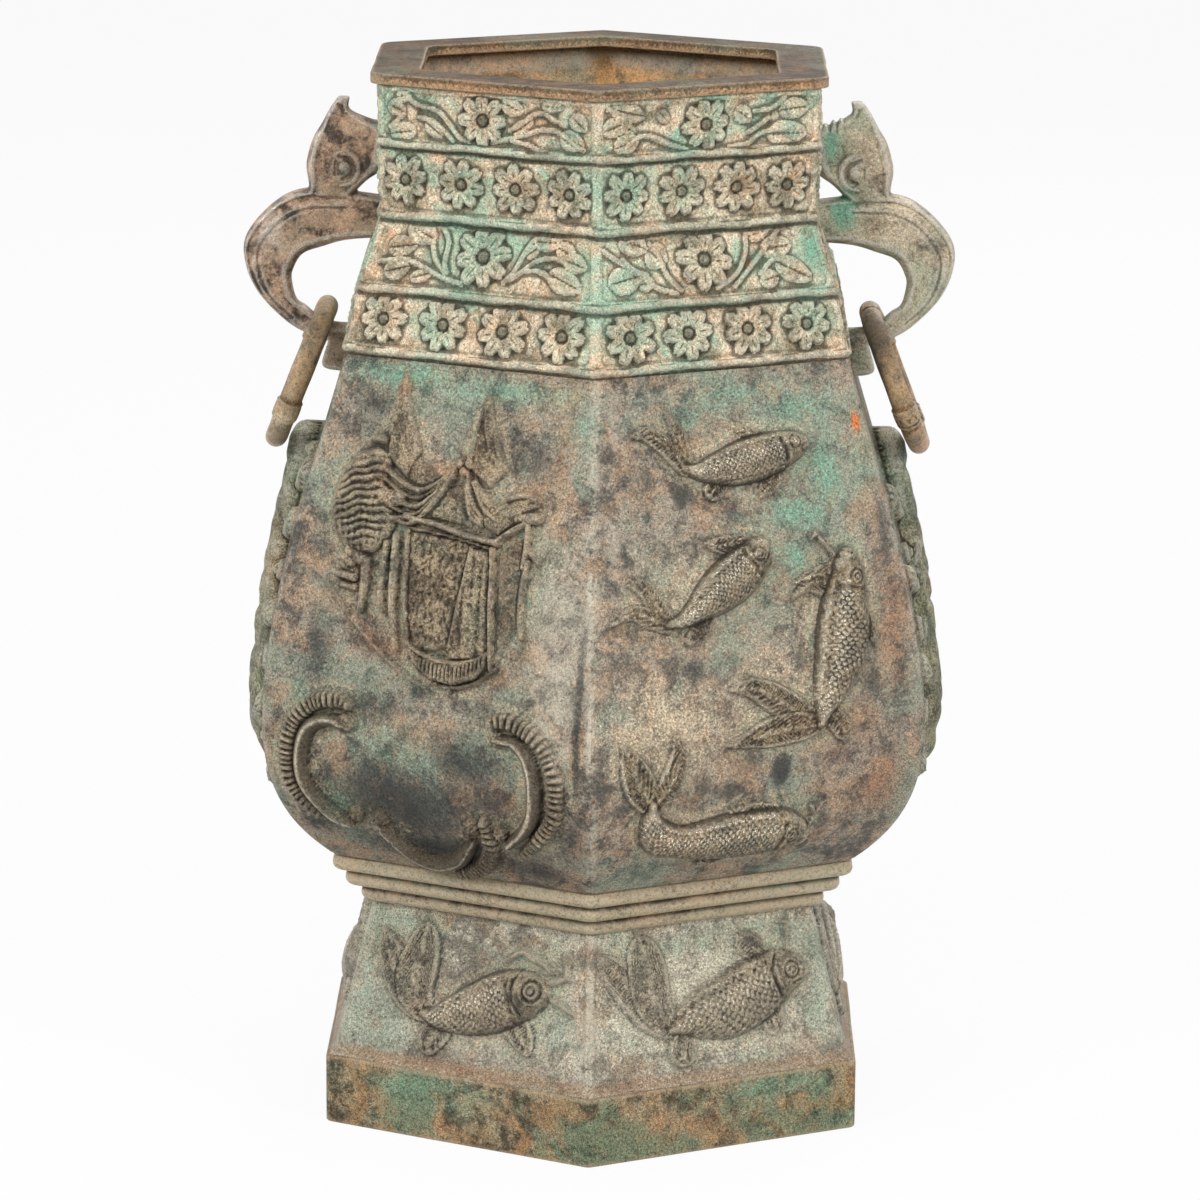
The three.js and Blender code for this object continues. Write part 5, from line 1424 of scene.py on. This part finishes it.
# The bright spots are a painted reflection along the front ridge, with a painted dark stripe beside it on the
# left face; the wide soot spots low on the left face are a dark patina and painted shade where the belly turns
# down
bellySpots = {
    "right": {
        "verdigris": [[0, 330, 40, 8, 0.6], [30, 322, 26, 9, 0.75], [40, 296, 14, 24, 0.8],
                      [26, 280, 20, 12, 0.8], [-22, 322, 14, 8, 0.6], [22, 262, 12, 12, 0.7],
                      [60, 300, 8, 22, 0.5], [48, 262, 8, 8, 0.6]],
        "sootAndShade": [[-30.8, 219.4, 6, 5, 1.5], [10.3, 173.3, 5, 8, 2.0], [54, 206, 8, 12, 0.8],
                 [-4, 180, 7, 5, 0.7], [66, 262, 5, 36, 0.7], [10, 138, 18, 5, 0.7], [68, 210, 7, 44, 0.7],
                 [64, 160, 12, 24, 0.5], [-20, 322, 20, 6, 0.5], [-66, 300, 10, 26, 0.4]],
        "ochre": [[59.6, 314, 3, 6, 1.9], [50, 190, 20, 18, 0.5], [-36, 196, 26, 14, 0.45],
                  [60, 160, 14, 18, 0.8], [66, 226, 10, 40, 0.7], [-40, 150, 24, 10, 0.5],
                  [20, 190, 24, 12, 0.4], [-20, 311, 12, 4, 0.6]],
        "pale": [[-20, 306, 14, 8, 0.6], [-38, 250, 14, 8, 0.5], [20, 236, 16, 8, 0.5],
                 [-44, 196, 40, 30, 0.75], [6, 206, 34, 30, 0.6], [-10, 150, 40, 14, 0.5],
                 [-30, 250, 30, 30, 0.4], [6, 316, 12, 4, 0.8]],
        "paintedSheen": [[-62, 272, 5, 26, 0.6], [-55, 318, 4, 14, 0.7]],
    },
    "left": {
        "verdigris": [[-14, 180, 28, 14, 0.5], [-30, 334, 40, 8, 0.75], [20, 332, 60, 8, 0.65],
                      [60, 322, 16, 8, 0.5], [-22, 262, 6, 18, 0.7], [-45, 148, 10, 16, 0.7],
                      [-60, 196, 6, 8, 0.6], [22, 246, 4, 20, 0.5], [-2, 282, 10, 6, 0.6],
                      [-6, 266, 10, 3, 0.5]],
        "sootAndShade": [[-54, 216, 10, 26, 0.9], [-30, 196, 20, 12, 0.8], [20, 178, 26, 14, 0.9],
                 [-42, 320, 16, 10, 0.6], [40, 306, 14, 16, 0.6], [-28, 168, 12, 10, 0.7],
                 [66, 150, 12, 16, 0.8], [44, 130, 22, 8, 0.8], [-10, 156, 54, 24, 1.0],
                 [0, 134, 60, 12, 1.1], [72.5, 212, 2.2, 50, 1.3], [28, 202, 6, 12, 0.6],
                 [78, 140, 10, 20, 0.9], [56, 170, 6, 20, 0.5], [22, 314, 12, 8, 0.5]],
        "ochre": [[-20, 222, 18, 8, 0.6], [52, 230, 12, 10, 0.4], [-50, 128, 20, 6, 0.7],
                  [40, 160, 8, 8, 0.4], [-27, 330, 4, 6, 0.9], [0, 298, 18, 4, 0.7], [40, 294, 10, 5, 0.6],
                  [50, 312, 4, 16, 0.6], [36, 214, 12, 4, 0.5], [-30, 290, 6, 6, 0.5]],
        "pale": [[56, 262, 10, 26, 0.4], [-20, 308, 12, 12, 0.4], [60, 210, 12, 20, 0.45],
                 [30, 294, 8, 5, 0.5]],
        "paintedSheen": [[80, 196, 4, 44, 0.8], [72, 250, 3, 30, 0.7], [61, 228, 18, 60, 0.75],
                   [60, 208, 12, 22, 0.8], [66, 190, 6, 16, 0.8]],
    },
    "side": {"verdigris": [[0, 280, 30, 20, 0.7], [-20, 220, 20, 20, 0.5], [30, 190, 20, 20, 0.6]],
             "ochre": [[20, 240, 20, 20, 0.5]], "sootAndShade": [[0, 140, 60, 8, 0.5]]},
}
belly = {"heights": (joints["belly"], joints["neck"]), "corner": 7.0, "uneven": 0.35, "steps": (0.66, 0.95)}
carveSection("belly", bellySurface, belly, {
    "frontRight": (carveBellyRight, bellySpots["right"], "fish"),
    "frontLeft": (carveBellyLeft, bellySpots["left"], "pavilion"),
    "backLeft": (carveBellyRight, bellySpots["right"], "fish"),
    "backRight": (carveBellyLeft, bellySpots["left"], "pavilion"),
    "right": (carveBellySide, bellySpots["side"], "rock"),
    "left": (carveBellySide, bellySpots["side"], "rock"),
})

# Neck

ribs = {"levels": [342.6, 368.5, 399, 429.5], "half": 1.6, "rise": 1.9, "strip": 2.4, "frame": 0.6}


def carveNeck(side, squeeze, handleBehind):
    def carve(relief, half):
        carveNeckOrnament(relief, side, squeeze, handleBehind)
        tops = ribs["levels"][1:] + [455.5]
        outside = np.full_like(relief.across, 1e3)
        for low, high in zip(ribs["levels"], tops):
            distance = framed(relief.across, relief.height, half - ribs["strip"], low + 2.6, high - 3.6, 3.2)
            outside = np.minimum(outside, distance)
        frame = easeIn((outside + 0.7) / 1.4)
        relief.lift = np.maximum(relief.lift * (1 - frame), ribs["frame"] * frame)
        for level in ribs["levels"]:
            wave = 0.35 * np.sin(relief.across * 0.11 + level) + 0.2 * np.sin(relief.across * 0.31 + 2 * level)
            half = ribs["half"] + 0.25 * np.sin(relief.across * 0.23 + level * 3)
            q = (relief.height - level - wave) / half
            relief.lift = np.maximum(relief.lift, ribs["rise"] * rounded(q))
            relief.lift -= 0.9 * np.exp(-((relief.height - level - wave + 2.5) / 0.8) ** 2)
    return carve


# Painted shade under each rib, where the rib overhangs the band below
shadeBelowRibs = [[0, level - 2.2, 90, 2.0, 0.95] for level in ribs["levels"]]
neckSpots = {
    "left": {"verdigris": [[45, 384, 14, 16, 0.8], [40, 430, 14, 5, 0.8], [-30, 398, 40, 4, 0.8],
                           [10, 369, 60, 3, 0.8], [-20, 430, 30, 4, 0.7], [48, 445, 10, 10, 0.5]],
             "sootAndShade": shadeBelowRibs,
             "pale": [[0, 412, 60, 10, 0.45], [-36, 358, 26, 10, 0.6], [20, 358, 30, 8, 0.5],
                      [-10, 385, 20, 8, 0.5]],
             "ochre": [[-46, 366, 6, 5, 0.7], [18, 376, 10, 4, 0.5], [-44, 440, 8, 8, 0.4]]},
    "right": {"sootAndShade": shadeBelowRibs, "verdigris": [[50, 386, 12, 18, 0.95], [48, 358, 12, 12, 0.8],
                                             [44, 369, 14, 5, 1.0], [-20, 368, 60, 3, 0.8],
                                             [14, 430, 60, 3, 0.6], [0, 399, 60, 3, 0.6],
                                             [-40, 444, 16, 8, 0.5]],
              "pale": [[-20, 414, 30, 9, 0.5], [10, 444, 30, 8, 0.4], [-20, 388, 26, 9, 0.4],
                       [8, 358, 30, 8, 0.4]],
              "ochre": [[16, 384, 4, 6, 0.95], [-44, 432, 10, 8, 0.5], [-46, 442, 8, 6, 0.4]],
              "paintedSheen": [[46, 405, 8, 3, 0.6]]},
}
neck = {"heights": (joints["neck"], joints["lip"]), "corner": 4.0, "uneven": 0.3, "steps": (0.68, 1.0)}
designs = {}
for faceName, side, squeeze, behind in (
    ("frontRight", "right", 1, False), ("frontLeft", "left", 1, False), ("backLeft", "right", 1, False),
    ("backRight", "left", 1, False), ("right", "left", 0.9, True), ("left", "right", 0.9, True),
):
    designs[faceName] = (carveNeck(side, squeeze, behind), neckSpots[side], "neck")
carveSection("neck", neckSurface, neck, designs)

# Foot

footPanel = {"border": 6.4, "ridgeBorder": 2.6, "low": 39.4, "high": 97.0, "recess": 0.7, "soft": 2.4}


# ridge is the side of the face that lies on the front or back ridge, -1 or 1, and 0 on the side faces
def carveFoot(fish, size, ridge):
    def carve(relief, half):
        across, height = relief.across, relief.height
        relief.across, relief.height = across / size, 64 + (height - 64) / size
        carveFish(relief, fish)
        relief.across, relief.height = across, height
        shift = ridge * (footPanel["border"] - footPanel["ridgeBorder"]) / 2
        reach = half - footPanel["border"] + abs(shift)
        inside = framed(across - shift, height, reach, footPanel["low"], footPanel["high"], 1.6)
        soft = footPanel["soft"]
        relief.lift -= footPanel["recess"] * (1 - easeIn((inside + soft / 2) / soft))
    return carve


# The bright spots are a painted reflection along the front ridge
footSpots = {
    "left": {"verdigris": [[-30, 90, 20, 5, 0.5], [20, 84, 20, 6, 0.4], [-52, 66, 5, 14, 0.5]],
             "sootAndShade": [[10, 78, 26, 16, 0.4], [-44, 50, 16, 10, 0.4],
                      [0, 38, 200, 5, 0.5]], "ochre": [[0, 33, 200, 4.5, 0.95]],
             "paintedSheen": [[57.5, 62, 2.6, 30, 1.1]]},
    "right": {"verdigris": [[-10, 88, 40, 5, 0.5], [30, 92, 20, 4, 0.5], [52, 60, 6, 20, 0.5],
                            [-40, 50, 10, 8, 0.4]],
              "ochre": [[0, 33, 200, 4.5, 0.95],
                        [-40, 40, 14, 4, 0.7]], "paintedSheen": [[-57.5, 62, 2.6, 30, 0.9]],
              "pale": [[-4, 66, 80, 38, 0.9], [30, 46, 30, 8, 0.6]], "sootAndShade": [[0, 38, 200, 5, 0.45]]},
}
foot = {"heights": (joints["plinth"], joints["foot"]), "corner": 4.0, "uneven": 0.3, "steps": (0.66, 1.0)}
footFish = {"right": footFishRight, "left": footFishLeft}
designs = {}
for faceName, side, size, ridge in (
    ("frontRight", "right", 1, -1), ("frontLeft", "left", 1, 1), ("backLeft", "right", 1, -1),
    ("backRight", "left", 1, 1), ("right", "left", 0.95, 0), ("left", "right", 0.95, 0),
):
    designs[faceName] = (carveFoot(footFish[side], size, ridge), footSpots[side], "foot")
carveSection("foot", footSurface, foot, designs)

# Inner walls behind the carved plates, the rolls under the belly, the lip and the plinth


# depth and rounds say how crests are told from hollows, as in storeForm
def addBand(name, node, outline, spec, look, spots, depth=0.25, rounds=10, sharp=60):
    piece = hexRing(name, outline, spec)
    smoothShade(piece, sharp)
    storeSpots(piece, storeForm(piece, depth, rounds), spots)
    finishPiece(piece, node, bronze[look])


def shellOutline(surface, low, high, outer, inner, parts):
    heights = np.linspace(low, high, parts)
    outside = np.column_stack([surface.halfWidth(heights) - outer, heights])
    inside = np.column_stack([surface.halfWidth(heights) - inner, heights])[::-1]
    return np.vstack([outside, inside, outside[:1]])


def boxOutline(band):
    return [(band[side], band[end]) for side,
            end in (("outer", "low"), ("outer", "high"), ("inner", "high"), ("inner", "low"))]


wall = {"corner": (6.0, 6.0), "perFace": 30, "perCorner": 5}
for name, node, outline in (
    ("belly_wall", "belly_section",
     shellOutline(bellySurface, joints["belly"] + 0.2, joints["neck"] - 0.2, 2.0, 5.4, 60)),
    ("neck_wall", "neck_section",
     shellOutline(neckSurface, joints["neck"] + 0.2, joints["lip"] - 0.2, 1.8, 5.2, 30)),
    ("foot_wall", "foot_section",
     shellOutline(footSurface, joints["plinth"] + 0.2, joints["foot"] - 0.2, 3.2, 6.4, 20)),
):
    addBand(name, node, outline, wall, "inside", {}, sharp=50)

rolls = {"crests": [100.6, 107.2, 112.6], "middles": [101.8, 109.4, 117.0], "radius": 3.8}
line = [[95.6, 97.6]]
for crest, middle in zip(rolls["crests"], rolls["middles"]):
    centre = crest - rolls["radius"]
    for turn in np.linspace(-1.25, 1.25, 11):
        line.append([centre + rolls["radius"] * math.cos(turn), middle + rolls["radius"] * math.sin(turn)])
line = np.array(line + [[112.4, 121.0], [106, 121.4], [94, 112], [90, 97.6], [95.6, 97.6]])
spec = {"corner": (4.0, 4.0), "perFace": 130, "perCorner": 8, "uneven": 0.5, "wave": 22}
spots = {"pale": [((0, -110, 110), (200, 80, 3), 0.3)]}
addBand("foot_rolls", "foot_section", line, spec, "rolls", spots, 0.6, 14)

lip = {"outer": 96.8, "inner": 75.9, "low": joints["lip"] + 0.1, "high": joints["top"]}
line = softOutline(boxOutline(lip), [0.6, 0.9, 0.8, 0.8], 1.4)
spec = {"corner": (4.0, 9.0), "perFace": 110, "perCorner": 10, "uneven": 0.6, "wave": 18}
spots = {
    "pale": [((0, 0, 455.6), (400, 400, 1.9), 0.9)],
    "ochre": [((-60, -90, 455.6), (60, 60, 2), 0.6), ((90, -60, 455.6), (30, 60, 2), 0.7)],
}
addBand("lip_rim", "lip_plate", line, spec, "lip", spots, 0.2, 6)

plinth = {"outer": 115.5, "inner": 109.5, "low": 0, "high": joints["plinth"]}
line = softOutline(boxOutline(plinth), [1.2, 1.4, 0.6, 0.6], 1.4)
spec = {"corner": (3.0, 4.0), "perFace": 120, "perCorner": 8, "uneven": 0.5, "wave": 26}
spots = {
    "ochre": [((40, -100, 14), (40, 30, 10), 0.6), ((-60, -90, 6), (24, 30, 6), 0.5)],
    "verdigris": [((-80, -80, 22), (30, 30, 8), 0.6), ((80, -80, 24), (30, 30, 6), 0.6)],
    "sootAndShade": [((-20, -110, 20), (20, 20, 8), 0.5)],
}
addBand("plinth_wall", "plinth_band", line, spec, "plinth", spots, 0.2, 6)
print("walls, rolls, lip and plinth made")

# Handles

handle = {
    "head": [[[15.4, 43], [20.4, 43], 3.0], [[15.4, 37.4], [24.2, 37.4], 5.0], [[6, 33], [27.3, 31.5], 7.2],
             [[-2, 31], [31.2, 25], 9.2], [[-2, 22], [33.6, 17], 10.0], [[1, 12.5], [34, 12], 10.0],
             [[8, 7], [33, 4], 8.6], [[14, 1], [35.5, 0], 7.5]],
    "body": [[[-4, -17.5], [-4, -.6], 7.5], [[16, -19], [17, 2], 7.5], [[27, -22], [36, 2.6], 7.5],
             [[36, -25.5], [49, -4], 7.4], [[40.3, -33], [60.2, -17.5], 7.0],
             [[40.6, -38], [60.4, -30.5], 6.6],
             [[38.5, -45.5], [54.6, -43], 6.0], [[34.2, -48.5], [43.4, -54.6], 5.2],
             [[28.6, -53.5], [33.6, -60.4], 5.0],
             [[24, -54.6], [25, -63.2], 5.0], [[21.5, -55.4], [27, -75], 5.5], [[8, -56], [9, -77], 6.0]],
    "offset": 92.2,
    "base": 399,
    "halfThickness": 11.75,
    "section": [[0, .30], [.04, .62], [.1, .86], [.16, .96], [.26, .91], [.42, .93], [.6, 1], [.78, .97],
                [.87, .88], [.92, .93], [.97, .72], [1, .34]],
}


# The head or body of a handle, from its rows of [inner point, outer point, half thickness]
def loft(key):
    rows = smoothLine([[*inner, *outer, half] for inner, outer, half in handle[key]], 10)
    section = smoothLine(handle["section"], 3)
    around = np.vstack([section, section[::-1] * [1, -1], section[:1]])

    def place(across, along):
        points = []
        for row in rows:
            inner, outer = row[:2], row[2:4]
            flat = inner + (outer - inner) * around[:, 0:1]
            y = row[4] * around[:, 1]
            points.append(np.column_stack([flat[:, 0] + handle["offset"], y, flat[:, 1] + handle["base"]]))
        return np.array(points)

    piece = shapeGrid(key, len(around) - 1, len(rows) - 1, place)
    weld(piece, fill=True)
    return piece


def makeHandle(name, turned):
    head, body = loft("head"), loft("body")
    makeActive(head)
    body.select_set(True)
    bpy.ops.object.join()
    piece = bpy.context.object
    piece.name = piece.data.name = name
    applyModifier(piece, "REMESH", mode="VOXEL", voxel_size=0.00075 * sheet)
    applyModifier(piece, "SMOOTH", factor=0.5, iterations=3)
    points = readPoints(piece)
    normals = np.empty(points.size)
    piece.data.vertices.foreach_get("normal", normals)
    normals = normals.reshape(-1, 3)
    relief = Relief(points[:, 0], points[:, 2])
    relief.bead(109.3, 412.4, 2.6, 0.9)  # the eye, then its brow, cheek, mouth and ear
    relief.stroke([[108.6, 419.6, 0.7], [104.8, 416.6, 0.9], [103.4, 411.6, 1.0], [106, 406.2, 0.9],
                   [111, 404.6, 0.7]], 0.9)
    relief.groove([[111.5, 417.6, 1.3], [106.6, 414.6, 1.7], [106.4, 409.6, 1.7], [110.5, 407.4, 1.3]], 1.1)
    relief.groove([[113.5, 415, 0.8], [113.8, 409, 0.8]], 0.5)
    relief.stroke([[112.2, 441, 1.4], [109.6, 439.6, 1.6], [108.4, 436.6, 1.2]], 1.0)
    for share in (0.7, 0.9):
        rim = [[inner[0] + share * (outer[0] - inner[0]) + handle["offset"],
                inner[1] + share * (outer[1] - inner[1]) + handle["base"], 1.0]
               for inner, outer, _ in handle["body"][1:8]]
        relief.groove(rim, 0.5)
    if not turned:  # the broken edge where the head meets the neck
        jagged = 0.9 * np.sin(points[:, 0] * 1.9) + 0.25 * np.sin(points[:, 0] * 3.7 + points[:, 1])
        points[:, 2] += jagged * np.exp(-((points[:, 0] - 100) / 4.4) ** 2) * easeIn((points[:, 2] - 428) / 3)
    sideways = np.abs(normals[:, 1]) ** 1.5
    points[:, 1] += np.sign(points[:, 1]) * relief.lift * sideways
    points[:, 1] = np.clip(points[:, 1], -handle["halfThickness"], handle["halfThickness"])
    writePoints(piece, points)
    if turned:
        writePoints(piece, points * [-1, -1, 1])
    smoothShade(piece, 80)
    return piece


# The bright spots are painted highlights on the handles' curves
handleSpots = {
    "verdigris": [((105, -8, 397), (7, 10, 11), 1.4), ((99, -8, 425), (5, 8, 14), 1.0),
                  ((104, -8, 372), (10, 8, 6), 0.6)],
    "sootAndShade": [((-145, 0, 380), (10, 20, 10), 0.6), ((-104, -8, 412), (7, 8, 6), 0.6),
             ((146, 0, 376), (4, 14, 20), 0.8)],
    "pale": [((130, -8, 398), (12, 8, 12), 0.9), ((120, -8, 426), (8, 8, 10), 0.6)],
    "paintedSheen": [((-141, -8, 384), (9, 8, 16), 0.75), ((140, -8, 385), (12, 8, 16), 0.4),
               ((-121, -8, 427), (5, 8, 10), 0.5)],
}
for name, turned in (("handle_right", False), ("handle_left", True)):
    piece = makeHandle(name + "_bronze", turned)
    storeSpots(piece, storeForm(piece, 0.22, 8), handleSpots)
    finishPiece(piece, name, bronze["plain" if turned else "paleHandle"])
print("handles made")

# Rings


def makeRing(name, side):
    deselectAll()
    major, minor = int(420 / sheet), int(36 / sheet)
    bpy.ops.mesh.primitive_torus_add(major_segments=major, minor_segments=minor,
                                     major_radius=loop["radius"] * mm,
                                     minor_radius=loop["tube"] * mm)
    piece = bpy.context.object
    piece.name = piece.data.name = name
    flat = readPoints(piece)
    turn = np.arctan2(flat[:, 1], flat[:, 0])
    reach = np.hypot(flat[:, 0], flat[:, 1]) - loop["radius"]
    tube = np.arctan2(flat[:, 2], reach)
    radius = np.full(len(turn), loop["tube"]) + 0.12 * np.sin(turn * 7 + 1) * np.sin(tube * 2 + turn * 3) - 0.12
    ringTop = np.degrees(turn) - 12
    radius -= 0.5 * np.exp(-(np.radians(ringTop) * loop["radius"] / 0.6) ** 2)
    for collar in loop["collars"]:
        away = np.radians(np.mod(np.degrees(turn) - collar * side + 180, 360) - 180) * loop["radius"]
        inside = easeIn((loop["collarHalf"] - np.abs(away)) / 0.8)
        rise = loop["collarRise"] * inside + 0.12 * inside
        rise -= 0.45 * (np.exp(-((np.abs(away) - 2.9) / 0.4) ** 2)) * inside
        dots = np.exp(-(away / 0.9) ** 2) * (0.5 + 0.5 * np.cos(tube * 9)) ** 4
        rise -= 0.4 * dots * inside
        radius = radius + rise
    reach = loop["radius"] + radius * np.cos(tube)
    local = np.column_stack([np.sin(tube) * radius, -np.sin(turn) * reach,
                             np.cos(turn) * reach - loop["radius"]])
    lean = math.radians(loop["lean"])
    x = local[:, 0] * math.cos(lean) - local[:, 2] * math.sin(lean)
    z = local[:, 0] * math.sin(lean) + local[:, 2] * math.cos(lean)
    points = np.column_stack([x + loop["pivot"][0], local[:, 1], z + loop["pivot"][1]])
    if side < 0:
        points = points * [-1, -1, 1]
    writePoints(piece, points)
    weld(piece)
    smoothShade(piece, 80)
    return piece


# The bright spot is a painted highlight on the left ring
ringSpots = {
    "ochre": [((139, -12, 296), (9, 12, 6), 1.7)],
    "pale": [((-134, -30, 306), (10, 10, 5), 1.1)],
    "sootAndShade": [((118, -20, 338), (12, 26, 20), 1.0), ((-118, -10, 346), (8, 20, 8), 0.5)],
    "paintedSheen": [((-128, -20, 326), (3, 10, 14), 0.7)],
}
for name, side in (("ring_right", 1), ("ring_left", -1)):
    piece = makeRing(name + "_bronze", side)
    storeSpots(piece, storeForm(piece, 0.34, 8), ringSpots)
    finishPiece(piece, name, bronze["ring"], name)
print("rings made")

# Floor, backdrop, light and camera

deselectAll()
bpy.ops.mesh.primitive_plane_add(size=40, location=(0, 0, 0))
floor = bpy.context.object
floor.name = "floor"
floorPaint = Painter("pale_floor")
seen = floorPaint.add("ShaderNodeLightPath", {}, {}, "Is Camera Ray")
glossy = floorPaint.add("ShaderNodeLightPath", {}, {}, "Is Glossy Ray")
through = floorPaint.add("ShaderNodeLightPath", {}, {}, "Is Transmission Ray")
plain = floorPaint.add("ShaderNodeBsdfPrincipled", {}, {"Base Color": (0.62, 0.62, 0.62, 1), "Roughness": 0.9,
                                                        "Specular IOR Level": 0.0})
glow = floorPaint.add("ShaderNodeEmission", {}, {"Color": (1, 1, 1, 1), "Strength": 1.0})
share = floorPaint.maths("MINIMUM", seen + glossy + through, 1.0) * 0.94
floorMix = floorPaint.add("ShaderNodeMixShader", {}, {0: share, 1: plain, 2: glow})
output = floorPaint.tree.nodes.new("ShaderNodeOutputMaterial")
floorPaint.tree.links.new(floorMix.socket, output.inputs["Surface"])
floor.data.materials.append(floorPaint.material)

world = bpy.data.worlds.new("studio")
bpy.context.scene.world = world
world.use_nodes = True
tree = world.node_tree
tree.nodes.clear()
path = tree.nodes.new("ShaderNodeLightPath")
total = path.outputs["Is Camera Ray"]
for ray in ("Is Glossy Ray", "Is Transmission Ray"):
    node = tree.nodes.new("ShaderNodeMath")
    node.operation = "ADD"
    tree.links.new(total, node.inputs[0])
    tree.links.new(path.outputs[ray], node.inputs[1])
    total = node.outputs[0]
level = tree.nodes.new("ShaderNodeMapRange")
level.inputs["To Min"].default_value = 0.15
level.inputs["To Max"].default_value = 1.0
tree.links.new(total, level.inputs["Value"])
background = tree.nodes.new("ShaderNodeBackground")
background.inputs["Color"].default_value = (1, 1, 1, 1)
tree.links.new(level.outputs["Result"], background.inputs["Strength"])
worldOutput = tree.nodes.new("ShaderNodeOutputWorld")
tree.links.new(background.outputs["Background"], worldOutput.inputs["Surface"])

studio = [
    {"name": "light_left", "place": (-1.5, -1.9, 1.7), "size": 0.9, "power": 45},
    {"name": "light_right", "place": (1.7, -1.7, 1.4), "size": 0.9, "power": 42},
    {"name": "light_front", "place": (-0.25, -2.6, 1.5), "size": 0.7, "power": 15},
    {"name": "light_top", "place": (0.0, -0.3, 2.4), "size": 1.2, "power": 20},
    {"name": "light_back", "place": (0.9, 2.3, 1.5), "size": 1.2, "power": 26},
    {"name": "light_side", "place": (-2.3, 0.9, 1.2), "size": 1.0, "power": 14},
]
for lamp in studio:
    deselectAll()
    aim = (Vector((0, 0, 0.22)) - Vector(lamp["place"])).to_track_quat("-Z", "Y").to_euler()
    bpy.ops.object.light_add(type="AREA", location=lamp["place"], rotation=aim)
    light = bpy.context.object
    light.name = light.data.name = lamp["name"]
    light.data.size = lamp["size"]
    light.data.energy = lamp["power"]

view = {"place": (0.0258, -2.3922, 0.7756), "yaw": 0.577, "pitch": 13.05, "roll": 0.505, "lens": 168.13}
deselectAll()
bpy.ops.object.camera_add(location=view["place"])
camera = bpy.context.object
pitch = Euler((math.radians(90 - view["pitch"]), 0, 0)).to_matrix()
yaw, roll = [Euler((0, 0, math.radians(view[key]))).to_matrix() for key in ("yaw", "roll")]
camera.rotation_euler = (yaw @ pitch @ roll).to_euler()
camera.data.lens = view["lens"]
camera.data.sensor_width = 36
camera.data.sensor_fit = "AUTO"
bpy.context.scene.camera = camera
bpy.context.scene.view_settings.view_transform = "Standard"
print("studio set")

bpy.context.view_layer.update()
